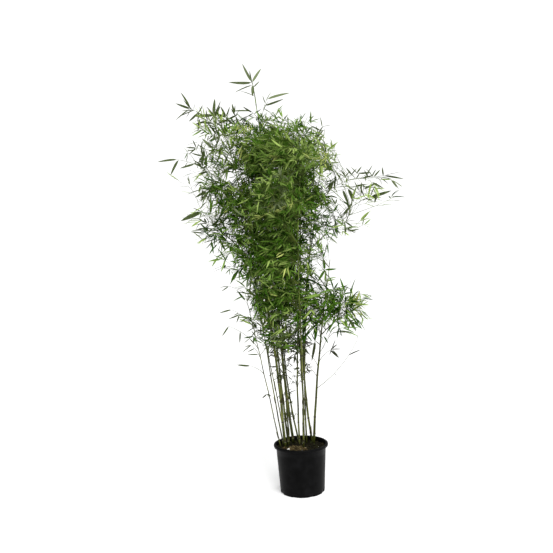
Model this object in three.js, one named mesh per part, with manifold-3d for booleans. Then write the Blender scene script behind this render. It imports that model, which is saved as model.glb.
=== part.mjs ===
// A clump of slender bamboo in a round nursery pot, in millimetres, +Z up.
// The origin is the middle of the pot's flat underside.
// The stems (culms) rise from the compost and run up whole through the foliage.
// The foliage is a set of uneven closed masses, cut round the stems and boughs.

import * as THREE from 'three';
import { mergeVertices } from 'three/addons/utils/BufferGeometryUtils.js';
import Module from 'manifold-3d';

const wasm = await Module();
wasm.setup();

// ---- driving dimensions ---------------------------------------------------

const GAP = 0.3;
const WELD = 1e-4;

const POT = {
  height: 267,
  baseRadius: 122,
  wallTopRadius: 137.5,
  wall: 2.5,
  floor: 3,
  footChamfer: 3,
  rimRadius: 150,
  lipHeight: 15,
  lipRound: 4,
  sides: 32,
  slots: 8,
  slotWidth: 26,
  slotHeight: 7,
  slotDepth: 9,
};

const SOIL = { headspace: 24, sides: POT.sides };
const SOIL_LEVEL = POT.height - SOIL.headspace;

const CULM = { sides: 5, steps: 6, tipDiameter: 2.4 };
const BOUGH = { sides: 5, steps: 3, tipDiameter: 2 };

// The masses bulge by up to about size x 2, in waves of this pitch, and are
// blunter than a plain ellipsoid as bluntness rises above 2.
const LUMP = { size: 0.13, pitch: 3.3, bluntness: 2.8 };

// Half-width over height of the cone in which a mass's reach is measured, and
// how far along Y a long axis may lean before it counts as running front to back.
const REACH_CONE = 0.6;
const STEEP = 0.7;

// Each culm: where it stands, where its tip is, how far its middle bows out
// and how far it sways into an S, both along X and Y, and its foot diameter.
const CULMS = [
  { name: 'culm_01', foot: [-114, 14], tip: [-268, -60, 1120], bow: [2, 0], sway: [0, 0], diameter: 6 },
  { name: 'culm_02', foot: [-98, 48], tip: [-300, 120, 1640], bow: [10, 0], sway: [-6, 0], diameter: 7 },
  { name: 'culm_03', foot: [-88, 4], tip: [-338, -90, 2010], bow: [46, -20], sway: [6, 0], diameter: 14 },
  { name: 'culm_04', foot: [-70, 44], tip: [-255, 130, 2090], bow: [18, 10], sway: [-3, 0], diameter: 10 },
  { name: 'culm_05', foot: [-42, 72], tip: [-182, 10, 2245], bow: [6, 0], sway: [-12, 0], diameter: 14 },
  { name: 'culm_06', foot: [-13, 98], tip: [-129, 230, 2000], bow: [-8, 20], sway: [-25, 0], diameter: 9 },
  { name: 'culm_07', foot: [-8, 50], tip: [20, -40, 2020], bow: [22, 0], sway: [-17, 0], diameter: 9 },
  { name: 'culm_08', foot: [12, -14], tip: [85, -200, 1990], bow: [-26, -30], sway: [12, 0], diameter: 9 },
  { name: 'culm_09', foot: [32, 66], tip: [141, 70, 1990], bow: [-15, 0], sway: [-10, 0], diameter: 9 },
  { name: 'culm_10', foot: [62, 92], tip: [203, 170, 2000], bow: [-66, 0], sway: [-17, 0], diameter: 11 },
  { name: 'culm_11', foot: [72, 60], tip: [200, -20, 1275], bow: [-14, 0], sway: [0, 0], diameter: 13 },
  { name: 'culm_12', foot: [18, 108], tip: [50, 330, 1880], bow: [-33, 30], sway: [18, 0], diameter: 10 },
  { name: 'culm_13', foot: [-80, 24], tip: [-224, 48, 1120], bow: [4, 0], sway: [0, 0], diameter: 6 },
  { name: 'culm_14', foot: [-66, 76], tip: [-93, 84, 1120], bow: [-3, 0], sway: [3, 0], diameter: 9 },
];

// Each bough: the culm that carries it, the height where it leaves, its tip and
// how far it arches upwards.
const BOUGHS = [
  { name: 'bough_right_low', culm: 'culm_10', height: 1330, tip: [330, 0, 1520], arch: 14, diameter: 6 },
  { name: 'bough_right_high', culm: 'culm_10', height: 1600, tip: [330, 40, 1706], arch: 16, diameter: 6 },
  { name: 'bough_right_foot', culm: 'culm_11', height: 860, tip: [285, -30, 985], arch: 12, diameter: 6 },
  { name: 'bough_left_high', culm: 'culm_03', height: 1650, tip: [-500, 10, 1800], arch: 16, diameter: 6 },
  { name: 'bough_left_low', culm: 'culm_02', height: 1260, tip: [-440, 30, 1500], arch: 16, diameter: 5 },
];

// Each mass of foliage: the ends of its long axis, its girth as a width across
// that axis in the XZ plane and a thickness across both, and how finely it is faceted.
const MASSES = [
  { name: 'crest_left', from: [-215, 0, 1770], to: [-165, 0, 2090], girth: [280, 240], detail: 2 },
  { name: 'crest_right', from: [75, 0, 1750], to: [100, 0, 2075], girth: [300, 270], detail: 2 },
  { name: 'crest_front', from: [-35, -185, 1740], to: [-15, -180, 2050], girth: [330, 210], detail: 2 },
  { name: 'crest_back', from: [-5, 195, 1730], to: [15, 185, 2050], girth: [340, 210], detail: 1 },
  { name: 'heart_left', from: [-225, 0, 1455], to: [-215, 0, 1790], girth: [250, 230], detail: 2 },
  { name: 'heart_right', from: [30, 0, 1470], to: [60, 0, 1790], girth: [270, 260], detail: 2 },
  { name: 'heart_front', from: [-70, -180, 1430], to: [-50, -185, 1760], girth: [320, 200], detail: 1 },
  { name: 'heart_back', from: [-35, 195, 1430], to: [-15, 200, 1750], girth: [330, 200], detail: 1 },
  { name: 'waist_left', from: [-190, 0, 1170], to: [-215, 0, 1490], girth: [220, 220], detail: 1 },
  { name: 'waist_right', from: [-45, 0, 1160], to: [-30, 0, 1500], girth: [190, 260], detail: 1 },
  { name: 'waist_front', from: [-110, -145, 1170], to: [-90, -160, 1450], girth: [240, 160], detail: 1 },
  { name: 'waist_back', from: [-85, 165, 1160], to: [-75, 180, 1450], girth: [250, 180], detail: 1 },
  { name: 'skirt_front', from: [-95, -60, 930], to: [-110, -75, 1190], girth: [270, 200], detail: 1 },
  { name: 'skirt_back', from: [-90, 115, 930], to: [-95, 115, 1190], girth: [270, 210], detail: 1 },
  { name: 'hem', from: [-90, 20, 800], to: [-95, 20, 960], girth: [280, 240], detail: 1 },
  { name: 'top_spray', from: [-160, 0, 2060], to: [-190, 0, 2335], girth: [290, 110], detail: 2 },
  { name: 'shoulder_left', from: [-375, 0, 1600], to: [-395, 0, 1990], girth: [210, 100], detail: 2 },
  { name: 'spray_upper_left', from: [-260, -40, 2000], to: [-590, -60, 2130], girth: [200, 80], detail: 1 },
  { name: 'spray_left_high', from: [-440, 10, 1760], to: [-708, 20, 1810], girth: [150, 60], detail: 1 },
  { name: 'flank_left', from: [-310, 10, 1420], to: [-590, 10, 1560], girth: [210, 80], detail: 1 },
  { name: 'fringe_left', from: [-270, 0, 1160], to: [-410, 0, 1420], girth: [150, 70], detail: 1 },
  { name: 'fringe_low_left', from: [-215, 20, 830], to: [-270, 20, 1150], girth: [120, 70], detail: 1 },
  { name: 'arm_right_high', from: [190, 20, 1690], to: [605, 20, 1700], girth: [140, 130], detail: 1 },
  { name: 'arm_right_low', from: [190, 10, 1430], to: [580, -40, 1660], girth: [180, 140], detail: 1 },
  { name: 'foot_right_inner', from: [15, -10, 1010], to: [250, -30, 1040], girth: [240, 220], detail: 1 },
  { name: 'foot_right_outer', from: [200, -30, 1020], to: [415, -60, 1000], girth: [280, 220], detail: 1 },
  { name: 'sprig_right', from: [178, -10, 1180], to: [215, -10, 1315], girth: [110, 70], detail: 1 },
  { name: 'spray_front', from: [-60, -220, 1540], to: [-110, -450, 1690], girth: [200, 150], detail: 1 },
  { name: 'spray_front_right', from: [90, -200, 1780], to: [170, -410, 1880], girth: [190, 140], detail: 1 },
  { name: 'spray_back', from: [0, 250, 1590], to: [50, 470, 1760], girth: [210, 150], detail: 1 },
  { name: 'spray_back_left', from: [-140, 230, 1820], to: [-290, 410, 1990], girth: [190, 140], detail: 1 },
  { name: 'spray_back_low', from: [-70, 160, 1040], to: [10, 330, 1110], girth: [190, 130], detail: 1 },
  { name: 'waist_outer', from: [95, 0, 1130], to: [112, 0, 1480], girth: [105, 160], detail: 1 },
];

// ---- materials -------------------------------------------------------------

const finish = (color, roughness) => new THREE.MeshStandardMaterial({ color, roughness, metalness: 0 });
const PLASTIC = finish(0x1b1b1c, 0.55);
const COMPOST = finish(0x3a2a1c, 0.95);
const CANE = finish(0x5d6b2c, 0.5);
const LEAF = finish(0x3f6626, 0.6);

// ---- solids ----------------------------------------------------------------

/** Turns a closed geometry into a solid that can be cut. */
function toSolid(geometry) {
  const bare = geometry.clone();
  bare.deleteAttribute('normal');
  bare.deleteAttribute('uv');
  const merged = mergeVertices(bare, WELD);
  const vertProperties = new Float32Array(merged.getAttribute('position').array);
  const triVerts = new Uint32Array(merged.getIndex().array);
  return new wasm.Manifold(new wasm.Mesh({ numProp: 3, vertProperties, triVerts }));
}

/** Turns a solid back into a geometry. */
function toGeometry(solid) {
  const mesh = solid.getMesh();
  const geometry = new THREE.BufferGeometry();
  geometry.setAttribute('position', new THREE.BufferAttribute(mesh.vertProperties, 3));
  geometry.setIndex(new THREE.BufferAttribute(mesh.triVerts, 1));
  geometry.computeVertexNormals();
  return geometry;
}

/** The largest single piece of a solid that a cut may have split. */
function largestPiece(solid) {
  const pieces = solid.decompose();
  pieces.sort((a, b) => b.volume() - a.volume());
  return pieces[0];
}

// ---- pot and compost ---------------------------------------------------------

/** Outer wall radius at a height. */
function wallRadius(z) {
  return THREE.MathUtils.lerp(POT.baseRadius, POT.wallTopRadius, z / (POT.height - POT.lipHeight));
}

/** Revolves a profile of [radius, height] pairs round the Z axis. */
function revolve(profile, sides) {
  const outline = profile.map(([radius, z]) => new THREE.Vector2(radius, z));
  return new THREE.LatheGeometry(outline, sides).rotateX(Math.PI / 2);
}

/** The pot: a thin tapering wall, a flat floor and a thick rolled lip. */
function potGeometry() {
  const lipFoot = POT.height - POT.lipHeight;
  const lipInside = wallRadius(lipFoot) - POT.wall;
  const shell = revolve([
    [0, 0],
    [POT.baseRadius - POT.footChamfer, 0],
    [wallRadius(POT.footChamfer), POT.footChamfer],
    [wallRadius(lipFoot), lipFoot],
    [POT.rimRadius - POT.lipRound / 2, lipFoot],
    [POT.rimRadius, lipFoot + POT.lipRound],
    [POT.rimRadius, POT.height - POT.lipRound],
    [POT.rimRadius - POT.lipRound, POT.height],
    [lipInside + POT.lipRound * 1.5, POT.height],
    [lipInside, lipFoot],
    [wallRadius(POT.floor) - POT.wall, POT.floor],
    [0, POT.floor],
  ], POT.sides);
  let solid = toSolid(shell);
  const slot = new THREE.BoxGeometry(POT.slotDepth * 2, POT.slotWidth, POT.slotHeight * 2);
  slot.translate(POT.baseRadius, 0, 0);
  for (let i = 0; i < POT.slots; i += 1) {
    const turned = slot.clone().rotateZ(((i + 0.5) / POT.slots) * 2 * Math.PI);
    solid = solid.subtract(toSolid(turned));
  }
  return toGeometry(solid);
}

/** The compost: it fills the pot to its level and follows the tapering wall. */
function soilGeometry() {
  const clearance = POT.wall + GAP * 1.5;
  return revolve([
    [0, POT.floor + GAP],
    [wallRadius(POT.floor) - clearance, POT.floor + GAP],
    [wallRadius(SOIL_LEVEL) - clearance, SOIL_LEVEL],
    [0, SOIL_LEVEL],
  ], SOIL.sides);
}

// ---- culms and boughs --------------------------------------------------------

/** The centre of a culm at t, from 0 at its foot to 1 at its tip. */
function culmCentre(culm, t) {
  const bow = Math.sin(Math.PI * t);
  const sway = Math.sin(2 * Math.PI * t);
  const across = (i) => THREE.MathUtils.lerp(culm.foot[i], culm.tip[i], t)
    + culm.bow[i] * bow + culm.sway[i] * sway;
  return new THREE.Vector3(across(0), across(1), THREE.MathUtils.lerp(SOIL_LEVEL + GAP, culm.tip[2], t));
}

/** A tapering round limb: a cylinder whose rings are moved onto a centre line. */
function limbGeometry(centreAt, ringAxes, footRadius, tipRadius, sides, steps) {
  const [first, second] = ringAxes;
  const shape = new THREE.CylinderGeometry(tipRadius, footRadius, 1, sides, steps);
  const position = shape.getAttribute('position');
  for (let i = 0; i < position.count; i += 1) {
    const point = centreAt(position.getY(i) + 0.5);
    point.addScaledVector(first, position.getX(i));
    point.addScaledVector(second, position.getZ(i));
    position.setXYZ(i, point.x, point.y, point.z);
  }
  return shape;
}

/** How much further out a ring's corners go, so that its flats move by the gap. */
const cornerGap = (sides) => GAP / Math.cos(Math.PI / sides);

/** A culm, or with extra above 0 the slightly thicker shape that clears it. */
function culmGeometry(culm, extra = 0) {
  const level = [new THREE.Vector3(1, 0, 0), new THREE.Vector3(0, -1, 0)];
  const footRadius = culm.diameter / 2 + extra;
  const tipRadius = CULM.tipDiameter / 2 + extra;
  const centreAt = (t) => culmCentre(culm, t);
  return limbGeometry(centreAt, level, footRadius, tipRadius, CULM.sides, CULM.steps);
}

/** The shape that clears a culm: a little thicker, and a little taller than its tip. */
function clearingCulm(culm) {
  const taller = { ...culm, tip: [culm.tip[0], culm.tip[1], culm.tip[2] + GAP] };
  return culmGeometry(taller, cornerGap(CULM.sides));
}

/** A bough: it leaves the middle of its culm, arches and ends inside its mass. */
function boughGeometry(bough, extra = 0) {
  const culm = CULMS.find((candidate) => candidate.name === bough.culm);
  const start = culmCentre(culm, (bough.height - SOIL_LEVEL) / (culm.tip[2] - SOIL_LEVEL));
  const tip = new THREE.Vector3(...bough.tip);
  const along = tip.clone().sub(start).normalize();
  const side = new THREE.Vector3(0, 0, 1).cross(along).normalize();
  const other = side.clone().cross(along);
  const centreAt = (t) => {
    const point = start.clone().lerp(tip, t);
    point.z += bough.arch * Math.sin(Math.PI * t);
    return point.addScaledVector(along, extra * t);
  };
  const footRadius = bough.diameter / 2 + extra;
  const tipRadius = BOUGH.tipDiameter / 2 + extra;
  return limbGeometry(centreAt, [side, other], footRadius, tipRadius, BOUGH.sides, BOUGH.steps);
}

// ---- foliage -------------------------------------------------------------------

/** How far a mass bulges in a direction, the same every time for one mass. */
function bulge(direction, phase) {
  const { x, y, z } = direction;
  const waves = Math.sin(LUMP.pitch * x + phase) * Math.cos(LUMP.pitch * y - 2 * phase)
    + Math.sin(LUMP.pitch * z + 3 * phase) * Math.cos(LUMP.pitch * x + phase)
    + 0.6 * Math.sin(2 * LUMP.pitch * y + phase) * Math.sin(2 * LUMP.pitch * z - phase);
  return 1 + LUMP.size * waves;
}

/** How far a blunt, boxy ellipsoid stands out past a plain one in a direction. */
function blunting({ x, y, z }) {
  const power = LUMP.bluntness;
  return (Math.abs(x) ** power + Math.abs(y) ** power + Math.abs(z) ** power) ** (-1 / power);
}

/** One uneven mass of foliage along its long axis. */
function massGeometry(mass, index) {
  const from = new THREE.Vector3(...mass.from);
  const to = new THREE.Vector3(...mass.to);
  const middle = from.clone().lerp(to, 0.5);
  const along = to.clone().sub(from);
  const length = along.length();
  along.normalize();
  const front = new THREE.Vector3(0, 1, 0);
  const steep = Math.abs(along.y) > STEEP;
  const across = (steep ? new THREE.Vector3(1, 0, 0) : front.clone().cross(along)).normalize();
  const through = along.clone().cross(across).normalize();
  across.crossVectors(through, along).normalize();
  const [width, depth] = mass.girth;
  const shape = mergeVertices(bareIcosahedron(mass.detail), WELD);
  const position = shape.getAttribute('position');
  const direction = new THREE.Vector3();
  for (let i = 0; i < position.count; i += 1) {
    direction.fromBufferAttribute(position, i);
    const swell = bulge(direction, index + 1) * blunting(direction);
    const point = middle.clone();
    point.addScaledVector(along, direction.x * blunting(direction) * length * 0.5);
    point.addScaledVector(across, direction.y * width * 0.5 * swell);
    point.addScaledVector(through, direction.z * depth * 0.5 * swell);
    position.setXYZ(i, point.x, point.y, point.z);
  }
  return shape;
}

/** An icosahedron with positions only. */
function bareIcosahedron(detail) {
  const shape = new THREE.IcosahedronGeometry(1, detail);
  shape.deleteAttribute('normal');
  shape.deleteAttribute('uv');
  return shape;
}

/** How far a solid reaches from a point in a direction. */
function reach(solid, point, direction) {
  const { vertProperties } = solid.getMesh();
  let furthest = 0;
  for (let i = 0; i < vertProperties.length; i += 3) {
    const corner = new THREE.Vector3().fromArray(vertProperties, i).sub(point);
    const forward = corner.dot(direction);
    const aside = corner.addScaledVector(direction, -forward).length();
    if (aside < forward * REACH_CONE) {
      furthest = Math.max(furthest, forward);
    }
  }
  return furthest;
}

/** Trims two overlapping masses to a flat gap between them. */
function partPair(first, second) {
  const toward = second.middle.clone().sub(first.middle);
  const distance = toward.length();
  toward.normalize();
  const away = toward.clone().negate();
  const ahead = reach(first.solid, first.middle, toward);
  const behind = reach(second.solid, second.middle, away);
  const offset = first.middle.dot(toward) + distance * ahead / (ahead + behind);
  first.solid = first.solid.trimByPlane(away.toArray(), GAP / 2 - offset);
  second.solid = second.solid.trimByPlane(toward.toArray(), offset + GAP / 2);
}

/** Parts every pair of masses that overlap. */
function partMasses(masses) {
  for (let i = 0; i < masses.length; i += 1) {
    for (let j = 0; j < i; j += 1) {
      const [first, second] = [masses[j], masses[i]];
      if (!first.solid.intersect(second.solid).isEmpty()) {
        partPair(first, second);
      }
    }
  }
}

// ---- assembly --------------------------------------------------------------------

const group = new THREE.Group();
group.name = 'potted_bamboo';

function addPiece(name, geometry, material) {
  const mesh = new THREE.Mesh(geometry, material);
  mesh.name = name;
  group.add(mesh);
}

addPiece('pot', potGeometry(), PLASTIC);
addPiece('soil', soilGeometry(), COMPOST);

const cutters = [];
const culmCutters = new Map();
for (const culm of CULMS) {
  addPiece(culm.name, culmGeometry(culm), CANE);
  const cutter = toSolid(clearingCulm(culm));
  culmCutters.set(culm.name, cutter);
  cutters.push(cutter);
}

for (const bough of BOUGHS) {
  const solid = toSolid(boughGeometry(bough)).subtract(culmCutters.get(bough.culm));
  addPiece(bough.name, toGeometry(largestPiece(solid)), CANE);
  cutters.push(toSolid(boughGeometry(bough, cornerGap(BOUGH.sides))));
}

const masses = MASSES.map((mass, index) => {
  const solid = toSolid(massGeometry(mass, index));
  const middle = new THREE.Vector3(...mass.from).lerp(new THREE.Vector3(...mass.to), 0.5);
  return { name: mass.name, solid, middle };
});
partMasses(masses);
for (const mass of masses) {
  const cut = cutters.reduce((solid, cutter) => solid.subtract(cutter), mass.solid);
  addPiece(mass.name, toGeometry(largestPiece(cut)), LEAF);
}

export default group;
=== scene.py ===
# %% [markdown]
# # A potted bamboo, grown in code
#
# This lesson builds the looks of a clump of slender bamboo in a nursery pot. The
# frame holds the exact plain solids: a pot, the compost, fourteen stems (culms), five
# boughs and a set of closed foliage masses. Each of them is replaced here by what it
# stands for. The stems get their joints and sheaths, and the masses become branches,
# twigs and narrow leaves that grow on from the stems by one seeded rule.

# %% Load the frame
import math

import bpy
import numpy as np
from mathutils import Matrix, Vector
from mathutils.bvhtree import BVHTree


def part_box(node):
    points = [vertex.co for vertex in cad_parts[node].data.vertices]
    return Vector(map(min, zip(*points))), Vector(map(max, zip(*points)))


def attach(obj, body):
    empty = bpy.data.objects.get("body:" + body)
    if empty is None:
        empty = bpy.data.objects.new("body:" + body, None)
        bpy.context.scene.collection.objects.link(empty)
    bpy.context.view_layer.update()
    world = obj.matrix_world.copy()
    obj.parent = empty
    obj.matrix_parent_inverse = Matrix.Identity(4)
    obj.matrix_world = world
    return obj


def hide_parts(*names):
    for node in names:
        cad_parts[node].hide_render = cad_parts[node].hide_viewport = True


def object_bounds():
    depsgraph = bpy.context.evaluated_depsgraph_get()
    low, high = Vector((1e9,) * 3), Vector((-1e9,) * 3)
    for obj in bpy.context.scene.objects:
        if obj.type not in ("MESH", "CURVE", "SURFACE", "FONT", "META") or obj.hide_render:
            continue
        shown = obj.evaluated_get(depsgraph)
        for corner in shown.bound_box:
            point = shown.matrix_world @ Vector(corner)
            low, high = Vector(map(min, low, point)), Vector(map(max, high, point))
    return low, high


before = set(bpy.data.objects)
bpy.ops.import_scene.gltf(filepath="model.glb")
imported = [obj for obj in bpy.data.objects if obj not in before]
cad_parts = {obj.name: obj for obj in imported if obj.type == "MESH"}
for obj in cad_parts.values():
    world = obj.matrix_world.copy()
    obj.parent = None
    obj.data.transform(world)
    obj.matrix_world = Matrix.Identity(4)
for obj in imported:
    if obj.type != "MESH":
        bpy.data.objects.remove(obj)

CAD_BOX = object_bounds()
NODES = sorted(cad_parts)
CULM_NODES = [name for name in NODES if name.startswith("culm_")]
BOUGH_NODES = [name for name in NODES if name.startswith("bough_")]
MASS_NODES = [name for name in NODES if name not in CULM_NODES + BOUGH_NODES + ["pot", "soil"]]
print(len(CULM_NODES), "culms,", len(BOUGH_NODES), "boughs,", len(MASS_NODES), "masses")

# %% [markdown]
# ## The camera
#
# A tall plant looks most like itself from the height of its middle, a few steps away,
# where its head and its pot are both seen nearly level. So the camera stands 3.8 m in
# front and 1.4 m up, and looks a little down and to the left. It is also turned
# slightly about its own line of sight, as a camera held in the hand is.
# A camera looks along its own -Z, so its turn is built from plain rotations.

# %% Camera
CAMERA_PLACE = (0.0, -3.8, 1.405)
CAMERA_DOWN = math.radians(3.2)
CAMERA_LEFT = math.radians(1.45)
CAMERA_ROLL = math.radians(2.39)
LENS = 45.4
SENSOR_WIDTH = 36.0

camera_data = bpy.data.cameras.new("camera")
camera_data.lens = LENS
camera_data.sensor_width = SENSOR_WIDTH
camera = bpy.data.objects.new("camera", camera_data)
camera.matrix_world = (
    Matrix.Translation(CAMERA_PLACE)
    @ Matrix.Rotation(CAMERA_LEFT, 4, "Z")
    @ Matrix.Rotation(math.pi / 2 - CAMERA_DOWN, 4, "X")
    @ Matrix.Rotation(-CAMERA_ROLL, 4, "Z")
)
bpy.context.collection.objects.link(camera)
bpy.context.scene.camera = camera
print("camera", [round(c, 3) for c in camera.matrix_world.translation])

# %% [markdown]
# ## The studio
#
# A plain white studio needs two things that pull against each other: a background
# that is pure white, and light that still leaves shade between the leaves. So the
# white that the camera sees behind the plant is brighter than the light that the
# surroundings give. A broad soft sun from the front right is the main light, and it
# also whitens the floor evenly. The floor glows faintly, so that the plant's shadow
# stays pale. A weaker soft lamp behind on the right draws the edges. The standard
# view keeps the greens as they are mixed.

# %% Surroundings
SEEN_WHITE = 1.15
SURROUND_LIGHT = 0.39

world = bpy.data.worlds.new("white_studio")
world.use_nodes = True
world_tree = world.node_tree
light_path = world_tree.nodes.new("ShaderNodeLightPath")
strength = world_tree.nodes.new("ShaderNodeMapRange")
strength.inputs["To Min"].default_value = SURROUND_LIGHT
strength.inputs["To Max"].default_value = SEEN_WHITE
world_tree.links.new(light_path.outputs["Is Camera Ray"], strength.inputs["Value"])
world_tree.links.new(strength.outputs["Result"], world_tree.nodes["Background"].inputs["Strength"])
world_tree.nodes["Background"].inputs["Color"].default_value = (1.0, 1.0, 1.0, 1.0)
bpy.context.scene.world = world
bpy.context.scene.view_settings.view_transform = "Standard"
print("white", SEEN_WHITE, "seen, and", SURROUND_LIGHT, "given as light")

# %% Lamps
SUN_LIGHT = 3.4
SUN_SPREAD = math.radians(50)
SUN_PLACE = (1.0, -3.8, 5.4)
EDGE_LAMP_POWER = 60
EDGE_LAMP_SIZE = 2.0
EDGE_LAMP_PLACE = (3.2, 1.6, 2.8)
LIGHTS_AIM = (0.0, 0.0, 1.4)


def aim(holder, place, at):
    """Puts a lamp in its place and turns it to look at a point."""
    holder.location = place
    holder.rotation_euler = (Vector(at) - Vector(place)).to_track_quat("-Z", "Y").to_euler()
    bpy.context.collection.objects.link(holder)


sun = bpy.data.lights.new("soft_sun", "SUN")
sun.energy = SUN_LIGHT
sun.angle = SUN_SPREAD
aim(bpy.data.objects.new("soft_sun", sun), SUN_PLACE, LIGHTS_AIM)
edge_lamp = bpy.data.lights.new("edge_lamp", "AREA")
edge_lamp.size = EDGE_LAMP_SIZE
edge_lamp.energy = EDGE_LAMP_POWER
aim(bpy.data.objects.new("edge_lamp", edge_lamp), EDGE_LAMP_PLACE, LIGHTS_AIM)
print("lamps", sun.name, "and", edge_lamp.name)

# %% Floor
FLOOR_RADIUS = 40.0
FLOOR_SIDES = 64
FLOOR_WHITE = 0.93
FLOOR_ROUGHNESS = 0.9
FLOOR_GLOW = 0.15
floor_mesh = bpy.data.meshes.new("floor")
floor_ring = [
    (FLOOR_RADIUS * math.cos(a), FLOOR_RADIUS * math.sin(a), 0.0)
    for a in np.linspace(0, 2 * math.pi, FLOOR_SIDES, endpoint=False)
]
floor_mesh.from_pydata(floor_ring, [], [range(FLOOR_SIDES)])
floor = bpy.data.objects.new("floor", floor_mesh)
bpy.context.collection.objects.link(floor)
floor_finish = bpy.data.materials.new("floor_white")
floor_finish.use_nodes = True
floor_shader = floor_finish.node_tree.nodes["Principled BSDF"]
floor_shader.inputs["Base Color"].default_value = (FLOOR_WHITE, FLOOR_WHITE, FLOOR_WHITE, 1)
floor_shader.inputs["Roughness"].default_value = FLOOR_ROUGHNESS
floor_shader.inputs["Emission Color"].default_value = (1, 1, 1, 1)
floor_shader.inputs["Emission Strength"].default_value = FLOOR_GLOW
floor_mesh.materials.append(floor_finish)
print("floor", 2 * FLOOR_RADIUS, "m across")

# %% [markdown]
# ## Helpers for meshes
#
# Thousands of leaves are too many to add one by one. Numpy works out all corners at
# once, and one call hands them to Blender. The next cell turns arrays of corners and
# faces into a piece that rides on the plant's single body.

# %% Mesh from arrays
def add_piece(name, points, faces, materials, replaced=(), face_slots=None, smooth=True):
    """A mesh piece from an array of points and a list of face arrays, by corner count."""
    corners = np.concatenate([np.ravel(part) for part in faces]).astype(np.int32)
    counts = np.concatenate([np.full(len(part), part.shape[1]) for part in faces])
    starts = np.concatenate([[0], np.cumsum(counts)[:-1]]).astype(np.int32)
    mesh = bpy.data.meshes.new(name)
    mesh.vertices.add(len(points))
    mesh.vertices.foreach_set("co", np.ascontiguousarray(points, dtype=np.float32).ravel())
    mesh.loops.add(len(corners))
    mesh.loops.foreach_set("vertex_index", corners)
    mesh.polygons.add(len(counts))
    mesh.polygons.foreach_set("loop_start", starts)
    mesh.polygons.foreach_set("use_smooth", np.full(len(counts), smooth))
    for material in materials:
        mesh.materials.append(material)
    if face_slots is not None:
        mesh.polygons.foreach_set("material_index", np.asarray(face_slots, dtype=np.int32))
    mesh.update(calc_edges=True)
    mesh.validate()
    piece = bpy.data.objects.new(name, mesh)
    bpy.context.collection.objects.link(piece)
    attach(piece, "root")
    if replaced:
        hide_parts(*replaced)
    return piece


print("ready to make pieces for body root")

# %% [markdown]
# ## Round tubes
#
# Stems, branches and twigs are all round tubes along a path. A curve with a bevel
# could make each, but thousands of curves take long. So the rings of all the
# tubes are worked out at once. Each ring takes its turn from the ring before it,
# which keeps a tube from twisting. The faces of one tube are numbered once, and
# numbered anew for each copy, as the leaves and chips further down are too.

# %% Tubes
STEEP = 0.8


def unit(vectors):
    """Vectors scaled to length 1."""
    return vectors / np.maximum(np.linalg.norm(vectors, axis=-1, keepdims=True), 1e-9)


def ring_quads(rings, sides):
    """Four-cornered faces that join each ring of corners to the next."""
    ring = np.arange(rings - 1)[:, None] * sides
    here = ring + np.arange(sides)
    there = ring + (np.arange(sides) + 1) % sides
    return np.stack([here, there, there + sides, here + sides], axis=-1).reshape(-1, 4)


def for_copies(faces, count, corners):
    """One shape's faces, numbered anew for each of many copies of that shape."""
    offset = np.arange(count)[:, None, None] * corners
    return (faces[None] + offset).reshape(-1, faces.shape[1])


def tubes(paths, radii, sides):
    """Round tubes along many paths at once: corner points and their four-cornered faces.

    paths is (tubes, steps, 3) and radii is (tubes, steps)."""
    count, steps, _ = paths.shape
    along = unit(np.gradient(paths, axis=1))
    start = np.where(np.abs(along[:, :1, 2:]) > STEEP, [[[0.0, 1.0, 0.0]]], [[[0.0, 0.0, 1.0]]])
    side = unit(np.cross(along[:, 0], start[:, 0]))
    sideways = [side]
    for step in range(1, steps):
        forward = along[:, step]
        side = unit(side - (side * forward).sum(1, keepdims=True) * forward)
        sideways.append(side)
    first = np.stack(sideways, axis=1)
    second = np.cross(along, first)
    angle = np.linspace(0, 2 * np.pi, sides, endpoint=False)
    ring = (
        first[:, :, None] * np.cos(angle)[None, None, :, None]
        + second[:, :, None] * np.sin(angle)[None, None, :, None]
    )
    points = paths[:, :, None] + ring * radii[:, :, None, None]
    return points.reshape(-1, 3), for_copies(ring_quads(steps, sides), count, steps * sides)


print("ready to make tubes")

# %% [markdown]
# ## Finishes
#
# Every finish is a Principled shader. Where the colour changes over a surface, such
# as green cane that yellows in the sun or damp compost, noise mixes a few colours.
# A painted image could do the same, but noise needs no unwrapping and stays sharp
# close by. Two helpers make them all: one for plain finishes and one for mottled ones.

# %% Plain finishes
def new_node(tree, kind, **values):
    """A shader node with some of its inputs set. An underscore stands for a space."""
    node = tree.nodes.new(kind)
    for name, value in values.items():
        node.inputs[name.replace("_", " ")].default_value = value
    return node


def finish(name, color, roughness, specular=0.5):
    """A plain finish, whose numbers all sit on the shader's own sockets."""
    material = bpy.data.materials.new(name)
    material.use_nodes = True
    shader = material.node_tree.nodes["Principled BSDF"]
    shader.inputs["Base Color"].default_value = (*color, 1.0)
    shader.inputs["Roughness"].default_value = roughness
    shader.inputs["Specular IOR Level"].default_value = specular
    return material


print("plain finishes ready")

# %% Mottled finishes
RAMP_ENDS = (0.3, 0.7)
COLOR_DETAIL = 5.0
GRAIN_DETAIL = 3.0
GRAIN_DEPTH = 0.001


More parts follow.
